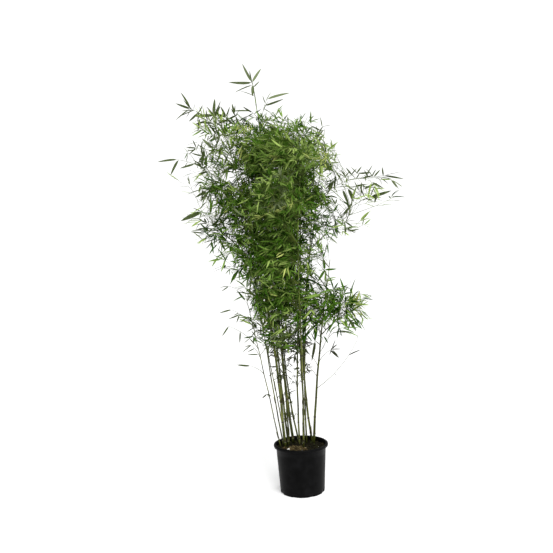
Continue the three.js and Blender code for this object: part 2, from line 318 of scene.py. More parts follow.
def mottle(material, colors, scale, stretch=(1, 1, 1), bump=0.0, grain_scale=None, rough=None, rise=None):
    """Mixes a finish's colour from noise, and adds fine relief and uneven gloss.

    rise is the colour that the finish turns to with height, and the heights where that starts and ends."""
    tree = material.node_tree
    join = tree.links.new
    shader = tree.nodes["Principled BSDF"]
    coordinates = new_node(tree, "ShaderNodeTexCoord")
    mapping = new_node(tree, "ShaderNodeMapping", Scale=stretch)
    noise = new_node(tree, "ShaderNodeTexNoise", Scale=scale, Detail=COLOR_DETAIL)
    ramp = new_node(tree, "ShaderNodeValToRGB")
    stops = np.linspace(*RAMP_ENDS, len(colors))
    while len(ramp.color_ramp.elements) < len(colors):
        ramp.color_ramp.elements.new(0.5)
    for element, stop, color in zip(ramp.color_ramp.elements, stops, colors):
        element.position = stop
        element.color = (*color, 1.0)
    join(coordinates.outputs["Object"], mapping.inputs["Vector"])
    join(mapping.outputs["Vector"], noise.inputs["Vector"])
    join(noise.outputs["Fac"], ramp.inputs["Fac"])
    join(ramp.outputs["Color"], shader.inputs["Base Color"])
    if rise:
        color, low, high = rise
        place = new_node(tree, "ShaderNodeSeparateXYZ")
        share = new_node(tree, "ShaderNodeMapRange", From_Min=low, From_Max=high)
        mix = tree.nodes.new("ShaderNodeMix")
        mix.data_type = "RGBA"
        mix.blend_type = "MULTIPLY"
        mix.inputs["B"].default_value = (*color, 1.0)
        join(coordinates.outputs["Object"], place.inputs["Vector"])
        join(place.outputs["Z"], share.inputs["Value"])
        join(share.outputs["Result"], mix.inputs["Factor"])
        join(ramp.outputs["Color"], mix.inputs["A"])
        join(mix.outputs["Result"], shader.inputs["Base Color"])
    if rough:
        spread = new_node(tree, "ShaderNodeMapRange", To_Min=rough[0], To_Max=rough[1])
        join(noise.outputs["Fac"], spread.inputs["Value"])
        join(spread.outputs["Result"], shader.inputs["Roughness"])
    if bump:
        grain = new_node(tree, "ShaderNodeTexNoise", Scale=grain_scale or 6 * scale, Detail=GRAIN_DETAIL)
        relief = new_node(tree, "ShaderNodeBump", Strength=bump, Distance=GRAIN_DEPTH)
        join(mapping.outputs["Vector"], grain.inputs["Vector"])
        join(grain.outputs["Fac"], relief.inputs["Height"])
        join(relief.outputs["Normal"], shader.inputs["Normal"])
    return material


print("mottled finishes ready")

# %% [markdown]
# ## Finishes of the pot and the compost
#
# The pot is black recycled plastic, dull and a little uneven in its gloss. Compost is
# nearly black where it is wet and brown where bark lies on it. All of these are dark,
# so their colours are close together, and the fine grain does most of the work.

# %% Pot and compost finishes
POT_PLASTIC = mottle(
    finish("pot_plastic", (0.002, 0.002, 0.0021), 0.42, specular=0.05),
    [(0.0006, 0.0006, 0.0006), (0.0018, 0.0018, 0.0019), (0.0045, 0.0045, 0.0048)],
    scale=22, bump=0.25, grain_scale=420, rough=(0.3, 0.6),
)
COMPOST = mottle(
    finish("compost_dark", (0.02, 0.017, 0.006), 0.95, specular=0.1),
    [(0.002, 0.0018, 0.0008), (0.007, 0.006, 0.0022), (0.022, 0.019, 0.007)],
    scale=60, bump=0.9, grain_scale=260,
)
BARK = mottle(
    finish("bark_chip", (0.04, 0.03, 0.01), 0.9, specular=0.1),
    [(0.006, 0.0045, 0.002), (0.03, 0.02, 0.008), (0.085, 0.06, 0.027)],
    scale=45, bump=0.5,
)
FALLEN = mottle(
    finish("fallen_leaf", (0.2, 0.15, 0.06), 0.8, specular=0.1),
    [(0.03, 0.02, 0.008), (0.09, 0.065, 0.025), (0.24, 0.19, 0.09)],
    scale=24, bump=0.2,
)
GRIT = finish("pale_grit", (0.72, 0.7, 0.66), 0.8)
MOSS = mottle(
    finish("moss_green", (0.03, 0.045, 0.01), 0.95, specular=0.1),
    [(0.008, 0.012, 0.003), (0.025, 0.035, 0.008), (0.06, 0.075, 0.02)],
    scale=90, bump=0.9,
)
print("pot and compost finishes ready")

# %% [markdown]
# ## Finishes of the canes
#
# A cane is green with darker and yellower streaks along it, so the noise is stretched
# many times along Z. It is duller at the shaded foot and yellower higher up. The rings
# at its joints are brown, with a pale waxy band below, and its sheaths are olive.

# %% Cane finishes
CANE = mottle(
    finish("cane_green", (0.06, 0.07, 0.018), 0.42, specular=0.15),
    [(0.0085, 0.0105, 0.0014), (0.055, 0.064, 0.011), (0.175, 0.188, 0.05)],
    scale=9, stretch=(8, 8, 0.9), bump=0.12, grain_scale=300, rough=(0.34, 0.55),
    rise=((1.3, 1.9, 1.0), 0.7, 1.7),
)
SHEATH = mottle(
    finish("sheath_olive", (0.045, 0.043, 0.018), 0.75, specular=0.1),
    [(0.016, 0.017, 0.005), (0.038, 0.038, 0.013), (0.085, 0.083, 0.034)],
    scale=30, stretch=(1, 1, 0.15), bump=0.3,
)
CANE_JOINT = mottle(
    finish("cane_joint", (0.03, 0.027, 0.01), 0.6, specular=0.2),
    [(0.012, 0.01, 0.004), (0.03, 0.025, 0.01), (0.07, 0.055, 0.025)],
    scale=60, bump=0.3,
)
CANE_BLOOM = finish("cane_bloom", (0.12, 0.13, 0.07), 0.8, specular=0.2)
TWIG = mottle(
    finish("twig_olive", (0.1, 0.12, 0.025), 0.6, specular=0.15),
    [(0.025, 0.034, 0.006), (0.05, 0.066, 0.011), (0.1, 0.125, 0.024)],
    scale=9, rise=((1.5, 1.7, 1.3), 0.9, 1.6),
)

print("cane finishes ready")

# %% [markdown]
# ## Leaf tints
#
# Leaves are so small that each keeps one plain colour, and what varies is which green
# a whole spray gets. Seven tints run from old and dark to young and yellow. The last
# three stand apart from that run: greyed, bleached, and old at the foot of the plant.

# %% Leaf finishes
LEAF_TINTS = {
    "deep": (0.008, 0.038, 0.0003),
    "shade": (0.022, 0.071, 0.0015),
    "green": (0.052, 0.126, 0.009),
    "mid": (0.1, 0.195, 0.024),
    "fresh": (0.175, 0.285, 0.055),
    "lime": (0.29, 0.4, 0.1),
    "yellow": (0.41, 0.47, 0.13),
    "dull": (0.065, 0.09, 0.03),
    "silver": (0.16, 0.2, 0.095),
    "old": (0.03, 0.037, 0.014),
}
LEAF_FINISHES = {
    tint: finish("leaf_" + tint, color, 0.45, specular=0.05) for tint, color in LEAF_TINTS.items()
}
print(len(bpy.data.materials), "finishes")

# %% [markdown]
# ## The pot
#
# The pot is a thin blow-moulded container. Its wall widens towards the top, where it
# is rolled over into a thick lip, and eight drain slots go round its foot. The frame
# gives its size. A profile turned round the axis makes the wall with smooth round
# corners. At each slot the corners at the foot are then moved a little inwards.

# %% Pot
POT_LOW, POT_HIGH = (np.array(corner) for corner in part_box("pot"))
RIM_RADIUS = (POT_HIGH[0] - POT_LOW[0]) / 2
POT_HEIGHT = POT_HIGH[2]
BASE_RADIUS = 0.122
WALL_TOP_RADIUS = 0.1375
WALL = 0.0025
LIP_HEIGHT = 0.015
LIP_ROUND = 0.006
FOOT_ROUND = 0.006
POT_FLOOR = 0.003
LIP_EDGE = 0.004
WALL_HEIGHTS = (0.02, 0.0215, 0.023, 0.08, 0.15, 0.21)


def arc(centre, radius, start, end, steps):
    """Points of an arc in the profile's plane, from one angle in degrees to another."""
    angles = np.radians(np.linspace(start, end, steps))
    return [(centre[0] + radius * math.cos(a), centre[1] + radius * math.sin(a)) for a in angles]


def pot_profile():
    """Radius and height pairs from the underside's middle, up the outside and down inside."""
    lip_foot = POT_HEIGHT - LIP_HEIGHT
    lip_middle = POT_HEIGHT - LIP_ROUND

    def wall_at(z):
        """The wall's outer radius at a height."""
        return BASE_RADIUS + (WALL_TOP_RADIUS - BASE_RADIUS) * z / lip_foot

    outside = [(0.0, 0.0), (0.06, 0.0), (0.1, 0.0)]
    outside += arc((wall_at(FOOT_ROUND) - FOOT_ROUND, FOOT_ROUND), FOOT_ROUND, -90, 0, 6)
    outside += [(wall_at(z), z) for z in (*WALL_HEIGHTS, lip_foot - 0.002)]
    outside += arc((RIM_RADIUS - LIP_EDGE, lip_foot + 0.0035), LIP_EDGE, -80, 0, 5)
    outside += arc((RIM_RADIUS - LIP_ROUND, lip_middle), LIP_ROUND, 0, 90, 7)
    inside = arc((WALL_TOP_RADIUS + 0.0045, lip_middle), LIP_ROUND, 90, 175, 6)
    inside += [(WALL_TOP_RADIUS - WALL, lip_foot), (wall_at(0.15) - WALL, 0.15)]
    inside += [(wall_at(POT_FLOOR) - WALL, POT_FLOOR), (0.06, POT_FLOOR), (0.0, POT_FLOOR)]
    return np.array(outside + inside)


print(len(pot_profile()), "points in the profile")

# %% Turned shapes
POT_TURNS = 144


def turned(profile, turns):
    """Points and quads of a profile turned round Z, whose ends lie on the axis."""
    angle = np.linspace(0, 2 * np.pi, turns, endpoint=False)
    radius, height = profile[1:-1, 0], profile[1:-1, 1]
    rings = np.stack([
        radius[:, None] * np.cos(angle), radius[:, None] * np.sin(angle),
        np.repeat(height[:, None], turns, axis=1),
    ], axis=-1)
    points = np.concatenate([rings.reshape(-1, 3), [[0, 0, profile[0, 1]], [0, 0, profile[-1, 1]]]])
    last = (len(radius) - 1) * turns
    around = np.arange(turns)
    beside = (around + 1) % turns
    base = np.stack([np.full(turns, len(points) - 2), beside, around], axis=-1)
    top = np.stack([np.full(turns, len(points) - 1), last + around, last + beside], axis=-1)
    return points, ring_quads(len(radius), turns), np.concatenate([base, top])


pot_points, pot_quads, pot_fans = turned(pot_profile(), POT_TURNS)
print(len(pot_points), "corners")

# %% Drain slots
SLOTS = 8
SLOT_STEP = 0.975
SLOT_HALF_TURN = 0.12
SLOT_TOP = 0.0205
SLOT_RADII = (0.105, 0.13)

pot_angle = np.arctan2(pot_points[:, 1], pot_points[:, 0])
pot_radius = np.hypot(pot_points[:, 0], pot_points[:, 1])
slot_phase = np.abs((pot_angle * SLOTS / (2 * np.pi)) % 1 - 0.5)
in_slot = (slot_phase < SLOT_HALF_TURN) & (pot_points[:, 2] < SLOT_TOP)
in_slot = in_slot & (pot_radius > SLOT_RADII[0]) & (pot_radius < SLOT_RADII[1])
pot_points[in_slot, :2] *= SLOT_STEP
pot = add_piece("pot_shell", pot_points, [pot_quads, pot_fans], [POT_PLASTIC], ["pot"])
print("pot", len(pot.data.polygons), "faces")

# %% [markdown]
# ## Compost
#
# Nursery compost is dark and lumpy, with bark, dropped leaves and a few pale grains
# on top. It has sunk a little below the lip, and it is banked up towards the front
# on the left. One lumpy disc is the ground: waves of three sizes make the lumps. The
# litter comes next and lies on it as real pieces.

# %% Compost
SOIL_LOW, SOIL_HIGH = (np.array(corner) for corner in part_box("soil"))
SOIL_RADIUS = (SOIL_HIGH[0] - SOIL_LOW[0]) / 2
SOIL_LEVEL = SOIL_HIGH[2]
BANK_TOWARDS = np.array([-0.45, -0.9])
BANK_HEIGHT = 0.02
SOIL_FOOT = 0.004
SOIL_SHOULDER = 0.01
SOIL_CLEAR = 0.0006
SOIL_RINGS = 46
SOIL_PROUD = 0.001
LUMP_SIZES = (0.0022, 0.0014, 0.0008)


def ground(x, y):
    """The compost's height: lumps of three sizes, and a bank towards the front left."""
    bank = np.clip((np.stack([x, y], -1) @ BANK_TOWARDS) / SOIL_RADIUS, 0, 1) ** 2 * BANK_HEIGHT
    broad, middling, fine = LUMP_SIZES
    lumps = broad * np.sin(47 * x + 1.3) * np.sin(53 * y + 0.4)
    lumps = lumps + middling * np.sin(131 * x + 2.1 * np.sin(90 * y)) * np.sin(117 * y + 1.7)
    lumps = lumps + fine * np.sin(290 * x + 1.1) * np.sin(310 * y + 150 * x)
    return SOIL_LEVEL + SOIL_PROUD + bank + lumps


def compost_mesh():
    """A closed lumpy disc that fills the pot down to its floor."""
    edge = SOIL_RADIUS - SOIL_CLEAR
    sides = [(0, SOIL_FOOT), (BASE_RADIUS - 0.01, SOIL_FOOT), (edge, SOIL_LEVEL - SOIL_SHOULDER)]
    top = [(edge * share, SOIL_LEVEL) for share in np.linspace(1, 0, SOIL_RINGS)]
    points, quads, fans = turned(np.array(sides + top), POT_TURNS)
    on_top = points[:, 2] > SOIL_LEVEL - SOIL_PROUD
    points[on_top, 2] = ground(points[on_top, 0], points[on_top, 1])
    return points, [quads, fans]


soil_points, soil_faces = compost_mesh()
compost = add_piece("compost_bed", soil_points, soil_faces, [COMPOST], ["soil"])
print("compost", len(compost.data.polygons), "faces")

# %% [markdown]
# ## Litter
#
# Chips of bark, tufts of moss and grains of grit lie on the compost. All three are
# boxes whose corners are pushed about, in other sizes and finishes, so one function
# makes them. Chips get flat faces, because split bark has hard edges. Those on the
# bank are dry and still brown. Elsewhere they have rotted to the compost's colour.

# %% Scattering and turning
def scatter(rng, count, reach):
    """Places on the compost, evenly spread over a disc."""
    radius = reach * np.sqrt(rng.random(count))
    angle = rng.random(count) * 2 * np.pi
    x, y = radius * np.cos(angle), radius * np.sin(angle)
    return np.stack([x, y, ground(x, y)], -1)


def random_turns(rng, count, tilt):
    """Three axes for each of many small things that lie nearly flat."""
    heading = rng.random(count) * 2 * np.pi
    along = np.stack([np.cos(heading), np.sin(heading), rng.normal(0, tilt, count)], -1)
    up = np.stack([rng.normal(0, tilt, count), rng.normal(0, tilt, count), np.ones(count)], -1)
    along = unit(along)
    across = unit(np.cross(up, along))
    return along, across, np.cross(along, across)


# %% Chips
CHIP_TILT = 0.35
CORNER_PUSH = 0.35


def chip_mesh(rng, places, sizes):
    """Small eight-cornered chips, each with its corners pushed about."""
    count = len(places)
    cube = np.array([[x, y, z] for z in (-1, 1) for y in (-1, 1) for x in (-1, 1)], float) / 2
    corners = cube[None] * (1 + rng.uniform(-CORNER_PUSH, CORNER_PUSH, (count, 8, 3))) * sizes[:, None]
    axes = np.stack(random_turns(rng, count, CHIP_TILT), axis=1)
    points = places[:, None] + np.einsum("nci,nij->ncj", corners, axes)
    box = np.array([[0, 2, 3, 1], [4, 5, 7, 6], [0, 1, 5, 4], [2, 6, 7, 3], [0, 4, 6, 2], [1, 3, 7, 5]])
    return points.reshape(-1, 3), for_copies(box, count, len(cube))


print("ready to scatter litter")

# %% Bark, moss and grit
LITTER_REACH = SOIL_RADIUS - 0.008
CHIP_COUNT = 620
MOSS_COUNT = 160
GRIT_COUNT = 18
BANK_MIDDLE = (-0.03, -0.075)
BANK_REACH = 0.06
PALE_FLECK_PLACE = (-0.068, -0.092)
PALE_FLECK_SIZE = 0.011
CHIP_SIZES = ([0.005, 0.003, 0.0015], [0.02, 0.009, 0.005])
MOSS_SIZES = (0.003, 0.008)
MOSS_FLATTER = [1, 1, 0.5]
ROTTEN_SPREAD = (0.6, 1.4)
GRIT_SIZES = (0.0015, 0.0035)

litter_rng = np.random.default_rng(11)
chip_sizes = litter_rng.uniform(*CHIP_SIZES, (CHIP_COUNT, 3))
chip_places = scatter(litter_rng, CHIP_COUNT, LITTER_REACH)
chip_points, chip_quads = chip_mesh(litter_rng, chip_places, chip_sizes)
from_bank = np.hypot(chip_places[:, 0] - BANK_MIDDLE[0], chip_places[:, 1] - BANK_MIDDLE[1])
rotten = from_bank > BANK_REACH * litter_rng.uniform(*ROTTEN_SPREAD, CHIP_COUNT)
add_piece(
    "bark_chips", chip_points, [chip_quads], [BARK, COMPOST],
    face_slots=np.repeat(rotten, 6), smooth=False,
)

moss_sizes = litter_rng.uniform(*MOSS_SIZES, (MOSS_COUNT, 3)) * MOSS_FLATTER
moss_points, moss_quads = chip_mesh(litter_rng, scatter(litter_rng, MOSS_COUNT, LITTER_REACH), moss_sizes)
add_piece("moss_tufts", moss_points, [moss_quads], [MOSS])

grit_sizes = litter_rng.uniform(*GRIT_SIZES, (GRIT_COUNT, 3))
grit_places = scatter(litter_rng, GRIT_COUNT, LITTER_REACH)
# One grain is made larger and laid on the bank near the front rim, as a pale fleck.
grit_sizes[0] = PALE_FLECK_SIZE
grit_places[0] = [*PALE_FLECK_PLACE, ground(*PALE_FLECK_PLACE) + 0.3 * PALE_FLECK_SIZE]
grit_points, grit_quads = chip_mesh(litter_rng, grit_places, grit_sizes)
add_piece("pale_grit", grit_points, [grit_quads], [GRIT])
print("litter", CHIP_COUNT + MOSS_COUNT + GRIT_COUNT, "pieces")

# %% [markdown]
# ## Reading the stems
#
# The frame's limbs are plain tapering solids, made of rings. Their corners, sorted
# along the limb, fall into those rings, and the mean of each ring is a point of the
# centre line. A smooth curve through the points is what the detailed stem, and
# everything that grows from it, is built on.

# %% Centre lines
def ring_centres(node, axis, gap):
    """The centres and radii of a limb's rings, in order along an axis."""
    points = np.array([vertex.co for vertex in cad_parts[node].data.vertices])
    places = points @ axis
    order = np.argsort(places)
    breaks = np.where(np.diff(places[order]) > gap)[0] + 1
    rings = np.split(points[order], breaks)
    centres = np.array([ring.mean(axis=0) for ring in rings])
    radii = np.array([np.linalg.norm(ring - ring.mean(axis=0), axis=1).max() for ring in rings])
    return centres, radii


def smooth_line(knots, places):
    """Points of a smooth curve through evenly spaced knots, at places from 0 to 1."""
    slope = np.gradient(knots, axis=0)
    last = len(knots) - 1
    spot = np.clip(places, 0, 1) * last
    knot = np.minimum(spot.astype(int), last - 1)
    u = (spot - knot)[:, None]
    return (
        knots[knot] * (1 + 2 * u) * (1 - u) ** 2 + slope[knot] * u * (1 - u) ** 2
        + knots[knot + 1] * u * u * (3 - 2 * u) + slope[knot + 1] * u * u * (u - 1)
    )


RING_GAP = 0.02
culms = {}
for name in CULM_NODES:
    knots, radii = ring_centres(name, np.array([0, 0, 1.0]), RING_GAP)
    culms[name] = {"knots": knots, "foot_radius": radii[0], "height": knots[-1, 2] - knots[0, 2]}
boughs = {}
for name in BOUGH_NODES:
    points = np.array([vertex.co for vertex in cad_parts[name].data.vertices])
    spread = points - points.mean(axis=0)
    axis = np.linalg.svd(spread, full_matrices=False)[2][0]
    axis = axis * (1 if axis[2] > 0 else -1)
    knots, radii = ring_centres(name, axis, RING_GAP)
    boughs[name] = {"knots": knots, "foot_radius": radii[0]}
print({name: round(culm["height"], 2) for name, culm in culms.items()})
print({name: len(bough["knots"]) for name, bough in boughs.items()})

# %% [markdown]
# ## The canes
#
# A bamboo stem is a row of hollow lengths between joints. The joints stand close
# together at the foot, further apart in the middle and close again at the tip. Each
# joint is a raised double ring, with a pale waxy band below it, and the stem turns a
# hair's breadth at each one. Some joints still hold a dry papery sheath.

# %% Joints of a cane
JOINT_SHORT = 0.055
JOINT_LONG = 0.135
JOINT_VARIES = (0.85, 1.15)
JOINT_NUDGE = 0.0014
FIRST_JOINT = (0.02, 0.06)
BARE_TIP = 0.03


def joint_heights(culm, rng):
    """Heights above the foot where a culm has its joints."""
    height = culm["height"]
    heights = []
    at = rng.uniform(*FIRST_JOINT)
    while at < height - BARE_TIP:
        heights.append(at)
        longer = math.sin(math.pi * min(1, at / height * 1.2 + 0.15))
        length = JOINT_SHORT + (JOINT_LONG - JOINT_SHORT) * longer
        at += length * rng.uniform(*JOINT_VARIES)
    return np.array(heights)


cane_rng = np.random.default_rng(5)
for culm in culms.values():
    culm["joints"] = joint_heights(culm, cane_rng)
    nudge = JOINT_NUDGE * (-1.0) ** np.arange(len(culm["joints"]))
    culm["nudges"] = nudge * cane_rng.uniform(0.2, 1, len(nudge))

# %% Canes
CANE_SIDES = 14
CANE_STEP = 0.03
CLOSEST_RINGS = 0.0006
CANE_GIRTH = 1.1
CANE_TAPER = 0.75
CANE_TIP_RADIUS = 0.0011
RINGS_AT_JOINT = np.array([-0.0075, -0.006, -0.0045, -0.0028, -0.0016, 0, 0.0016, 0.003, 0.006])
JOINT_SWELLS = ((0.22, 0.0, 0.0016), (0.1, -0.003, 0.0012))
JOINT_BAND = 0.0035
BLOOM_BAND = 0.0078


def cane(culm):
    """A culm's path, radii and which rings are joint or bloom."""
    height = culm["height"]
    joints = culm["joints"]
    at_joints = (joints[:, None] + RINGS_AT_JOINT).ravel()
    stations = np.concatenate([np.arange(0, height, CANE_STEP), at_joints, [height]])
    stations = np.unique(np.clip(stations, 0, height))
    stations = stations[np.concatenate([[True], np.diff(stations) > CLOSEST_RINGS])]
    nearest = joints[np.abs(stations[:, None] - joints).argmin(axis=1)]
    off = stations - nearest
    fraction = stations / height
    radii = CANE_GIRTH * culm["foot_radius"] * (1 - fraction) ** CANE_TAPER + CANE_TIP_RADIUS * fraction
    swell = sum(size * np.exp(-(((off - place) / reach) ** 2)) for size, place, reach in JOINT_SWELLS)
    path = smooth_line(culm["knots"], fraction)
    path[:, 0] += np.interp(stations, joints, culm["nudges"])
    is_joint = np.abs(off) < JOINT_BAND
    is_bloom = (off < -JOINT_BAND) & (off > -BLOOM_BAND)
    return path, radii * (1 + swell), is_joint.astype(int) + 2 * is_bloom


limb_lines = {}
for name, culm in culms.items():
    path, radii, ring_kind = cane(culm)
    points, quads = tubes(path[None], radii[None], CANE_SIDES)
    face_kind = np.repeat(ring_kind[:-1], CANE_SIDES)
    cap = np.arange(CANE_SIDES)[None] + (len(path) - 1) * CANE_SIDES
    foot = np.arange(CANE_SIDES)[None, ::-1]
    number = name.split("_")[1]
    add_piece(
        "cane_" + number, points, [quads, cap, foot], [CANE, CANE_JOINT, CANE_BLOOM],
        [name], np.concatenate([face_kind, [0, 0]]),
    )
    culm["joint_places"] = smooth_line(culm["knots"], culm["joints"] / culm["height"])
    culm["joint_radii"] = np.interp(culm["joint_places"][:, 2], path[:, 2], radii)
    limb_lines[name] = path
print(len(culms), "canes, the tallest", round(max(culm["height"] for culm in culms.values()), 2), "m")

# %% [markdown]
# ## Papery sheaths
#
# A young stem is wrapped in a sheath at each joint. Sheaths dry to a dull olive, fray
# and fall, and on a clump of this age the lower joints keep a few. A sheath is a curled
# strip: it clasps most of the stem at its foot and runs out to a point, a little away
# from the cane. Rows up the strip and columns round it give that as one thin sheet.

# %% Sheaths
SHEATH_ROWS = 6
SHEATH_COLUMNS = 7
SHEATH_TOP = 0.6
SHEATH_SHARE = 0.35
SHEATH_LENGTHS = (0.03, 0.06)
SHEATH_CLASP = ([0, 0.6, 1], [2.6, 1.5, 0.1])
SHEATH_FIT = 1.06
SHEATH_CLEAR = 0.0003
SHEATH_FLARE = 0.0016
LEAST_SHEATHED = 0.002


def sheath_mesh(feet, axes, radii, heights, headings):
    """Corner points and quads of many curled strips, each round its own axis."""
    up = np.linspace(0, 1, SHEATH_ROWS)[None, :, None, None]
    side = unit(np.cross(axes, [0.0, 1.0, 0.0]))
    other = np.cross(axes, side)
    clasp = np.interp(up, *SHEATH_CLASP)
    turn = headings[:, None, None, None] + clasp * np.linspace(-1, 1, SHEATH_COLUMNS)[None, None, :, None]
    spread = radii[:, None, None, None] * SHEATH_FIT + SHEATH_CLEAR + SHEATH_FLARE * up ** 2
    around = np.cos(turn) * side[:, None, None] + np.sin(turn) * other[:, None, None]
    rise = axes[:, None, None] * heights[:, None, None, None] * up
    points = feet[:, None, None] + rise + around * spread
    row = np.arange(SHEATH_ROWS - 1)[:, None] * SHEATH_COLUMNS
    here = (row + np.arange(SHEATH_COLUMNS - 1)[None]).ravel()
    quads = np.stack([here, here + 1, here + 1 + SHEATH_COLUMNS, here + SHEATH_COLUMNS], -1)
    return points.reshape(-1, 3), for_copies(quads, len(feet), SHEATH_ROWS * SHEATH_COLUMNS)


sheath_feet, sheath_axes, sheath_radii = [], [], []
for culm in culms.values():
    lean = unit(np.gradient(culm["joint_places"], axis=0))
    for place, axis, radius in zip(culm["joint_places"], lean, culm["joint_radii"]):
        if place[2] < SHEATH_TOP and radius > LEAST_SHEATHED and cane_rng.random() < SHEATH_SHARE:
            sheath_feet.append(place)
            sheath_axes.append(axis)
            sheath_radii.append(radius)
sheath_count = len(sheath_feet)
points, quads = sheath_mesh(
    np.array(sheath_feet), np.array(sheath_axes), np.array(sheath_radii),
    cane_rng.uniform(*SHEATH_LENGTHS, sheath_count), cane_rng.uniform(0, 2 * np.pi, sheath_count),
)
add_piece("cane_sheaths", points, [quads], [SHEATH])
print(sheath_count, "sheaths")

# %% [markdown]
# ## Boughs
#
# Five stout side shoots leave the canes and carry the foliage that stands out to the
# left and right. They are thin canes themselves, so they are made in the same way:
# round, tapering, and a little thicker at every third ring, where a joint would be.

# %% Boughs
BOUGH_STEPS = 14
BOUGH_SIDES = 8
BOUGH_GIRTH = 0.55
BOUGH_TIP_RADIUS = 0.0009
BOUGH_KNUCKLE = 0.14

for name, bough in boughs.items():
    line = smooth_line(bough["knots"], np.linspace(0, 1, BOUGH_STEPS))
    limb_lines[name] = line
    taper = np.linspace(bough["foot_radius"], BOUGH_TIP_RADIUS, BOUGH_STEPS)
    taper = BOUGH_GIRTH * taper * (1 + BOUGH_KNUCKLE * (np.arange(BOUGH_STEPS) % 3 == 1))
    points, quads = tubes(line[None], taper[None], BOUGH_SIDES)
    add_piece(name + "_cane", points, [quads], [CANE], [name])
print(len(boughs), "boughs")

# %% [markdown]
# ## How the branches grow
#
# A bamboo branch leaves a joint at a steep angle, bends outwards and ends in fans of
# leaves. Each foliage mass of the frame says where leaves are. The rule is this: an
# even grid of points, each shaken a little, fills the masses. Every point looks for
# the joint that a branch to it would most easily start from, and a branch grows
# between the two. How full a mass is says which share of its points is used, so the
# crown is dense at its heart and open at its edges.
#
# That share is shaped further. The top is domed, so fewer points are used towards
# its edge, and fewer far to the left and right. Sky gaps are ovals, seen from the
# front, where no branch may end. Thick tufts are knots of extra branches, and a core
# down the middle is fuller as well.

# %% How full each mass is
FULLNESS = {
    "crest_left": 1.1, "crest_right": 0.5, "crest_front": 0.8, "crest_back": 0.8,
    "heart_left": 1.35, "heart_right": 0.78, "heart_front": 0.8, "heart_back": 0.8,
    "waist_left": 1.2, "waist_right": 0.88, "waist_front": 0.9, "waist_back": 0.8, "waist_outer": 0.42,
    "skirt_front": 0.8, "skirt_back": 0.7, "hem": 0.5, "top_spray": 0.0,
    "shoulder_left": 1.05, "spray_upper_left": 0.35, "spray_left_high": 0.12, "flank_left": 0.65,
    "fringe_left": 0.55, "fringe_low_left": 0.45, "arm_right_high": 0.25, "arm_right_low": 0.35,
    "foot_right_inner": 0.75, "foot_right_outer": 0.55, "sprig_right": 0.0, "spray_front": 0.4,
    "spray_front_right": 0.4, "spray_back": 0.4, "spray_back_left": 0.4, "spray_back_low": 0.4,
}
DOME_MIDDLE = (-0.2, 0.0)
DOME_TOP = 2.05
DOME_FALL = 0.4
DOME_EDGE = 0.15
DOME_FADE = 0.045
SKY_GAPS = [
    (0.195, 1.935, 0.06, 0.03), (0.22, 1.88, 0.06, 0.035),
    (-0.368, 2.02, 0.05, 0.03), (-0.316, 1.726, 0.03, 0.03),
    (-0.41, 1.92, 0.03, 0.025), (-0.44, 1.86, 0.02, 0.03),
    (-0.35, 1.93, 0.025, 0.02), (-0.38, 1.86, 0.02, 0.02),
    (0.08, 1.43, 0.03, 0.025), (0.08, 1.16, 0.035, 0.03),
    (0.19, 1.036, 0.035, 0.025), (0.26, 0.93, 0.05, 0.02),
    (0.36, 0.9, 0.12, 0.06), (0.27, 1.12, 0.05, 0.03), (-0.297, 1.17, 0.04, 0.05), (-0.29, 0.95, 0.03, 0.06),
    (0.13, 1.27, 0.03, 0.05), (-0.034, 0.91, 0.03, 0.025),
    (-0.075, 0.95, 0.025, 0.02), (0.01, 0.98, 0.02, 0.03),
    (0.125, 1.54, 0.03, 0.04), (0.15, 1.4, 0.02, 0.03), (0.509, 1.6, 0.06, 0.04), (0.41, 1.55, 0.05, 0.03),
    (0.5, 1.53, 0.08, 0.05), (-0.06, 2.12, 0.09, 0.065),
    (0.205, 1.555, 0.04, 0.045), (0.25, 1.54, 0.03, 0.03),
]
THICK_TUFTS = [
    (-0.33, 1.62, 0.04, 10), (-0.34, 1.54, 0.05, 18), (-0.3, 1.46, 0.03, 6), (0.165, 1.8, 0.03, 6),
    (0.15, 1.6, 0.03, 4), (0.14, 1.5, 0.04, 4), (0.27, 1.04, 0.04, 6), (0.22, 0.96, 0.03, 4),
    (-0.1, 0.84, 0.05, 5), (-0.02, 0.82, 0.04, 4), (-0.43, 1.78, 0.04, 7), (-0.43, 1.68, 0.04, 7),
    (-0.43, 1.46, 0.04, 6), (-0.35, 1.45, 0.04, 6), (-0.34, 1.37, 0.03, 3), (0.19, 1.1, 0.04, 4),
    (-0.43, 1.62, 0.04, 5), (-0.38, 1.8, 0.03, 5), (-0.36, 1.68, 0.03, 4), (0.05, 2.0, 0.03, 3),
    (0.205, 1.444, 0.04, 5), (0.28, 1.5, 0.04, 2), (0.16, 1.41, 0.03, 2),
    (-0.3, 2.06, 0.04, 5), (-0.39, 2.04, 0.03, 5),
    (0.1, 1.44, 0.05, 6), (-0.45, 2.0, 0.04, 3),
]
TUFT_DEPTH = 0.07
TUFT_HOME = "heart_left"
CORE_MIDDLE = -0.11
CORE_REACH = 0.13
CORE_HEIGHTS = (1.0, 1.95)
CORE_EXTRA = 0.5
THINS_FROM = 0.28
THINS_TO = 0.55
THINNEST = 0.35
CLUMP_MIDDLE = -0.08
print(len(FULLNESS), "masses,", len(SKY_GAPS), "gaps,", len(THICK_TUFTS), "tufts")

# %% [markdown]
# ## Inside or outside a mass
#
# To know whether a point lies in a closed solid, a ray is sent straight up from it. If
# the ray leaves through the faces an odd number of times, the point is inside. A
# search tree over each mass makes that quick, and also tells how far off the closest
# face is, for points that lie just outside.

# %% Search trees
def tree_of(node):
    """A search tree over a node's faces."""
    return BVHTree.FromObject(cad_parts[node], bpy.context.evaluated_depsgraph_get())


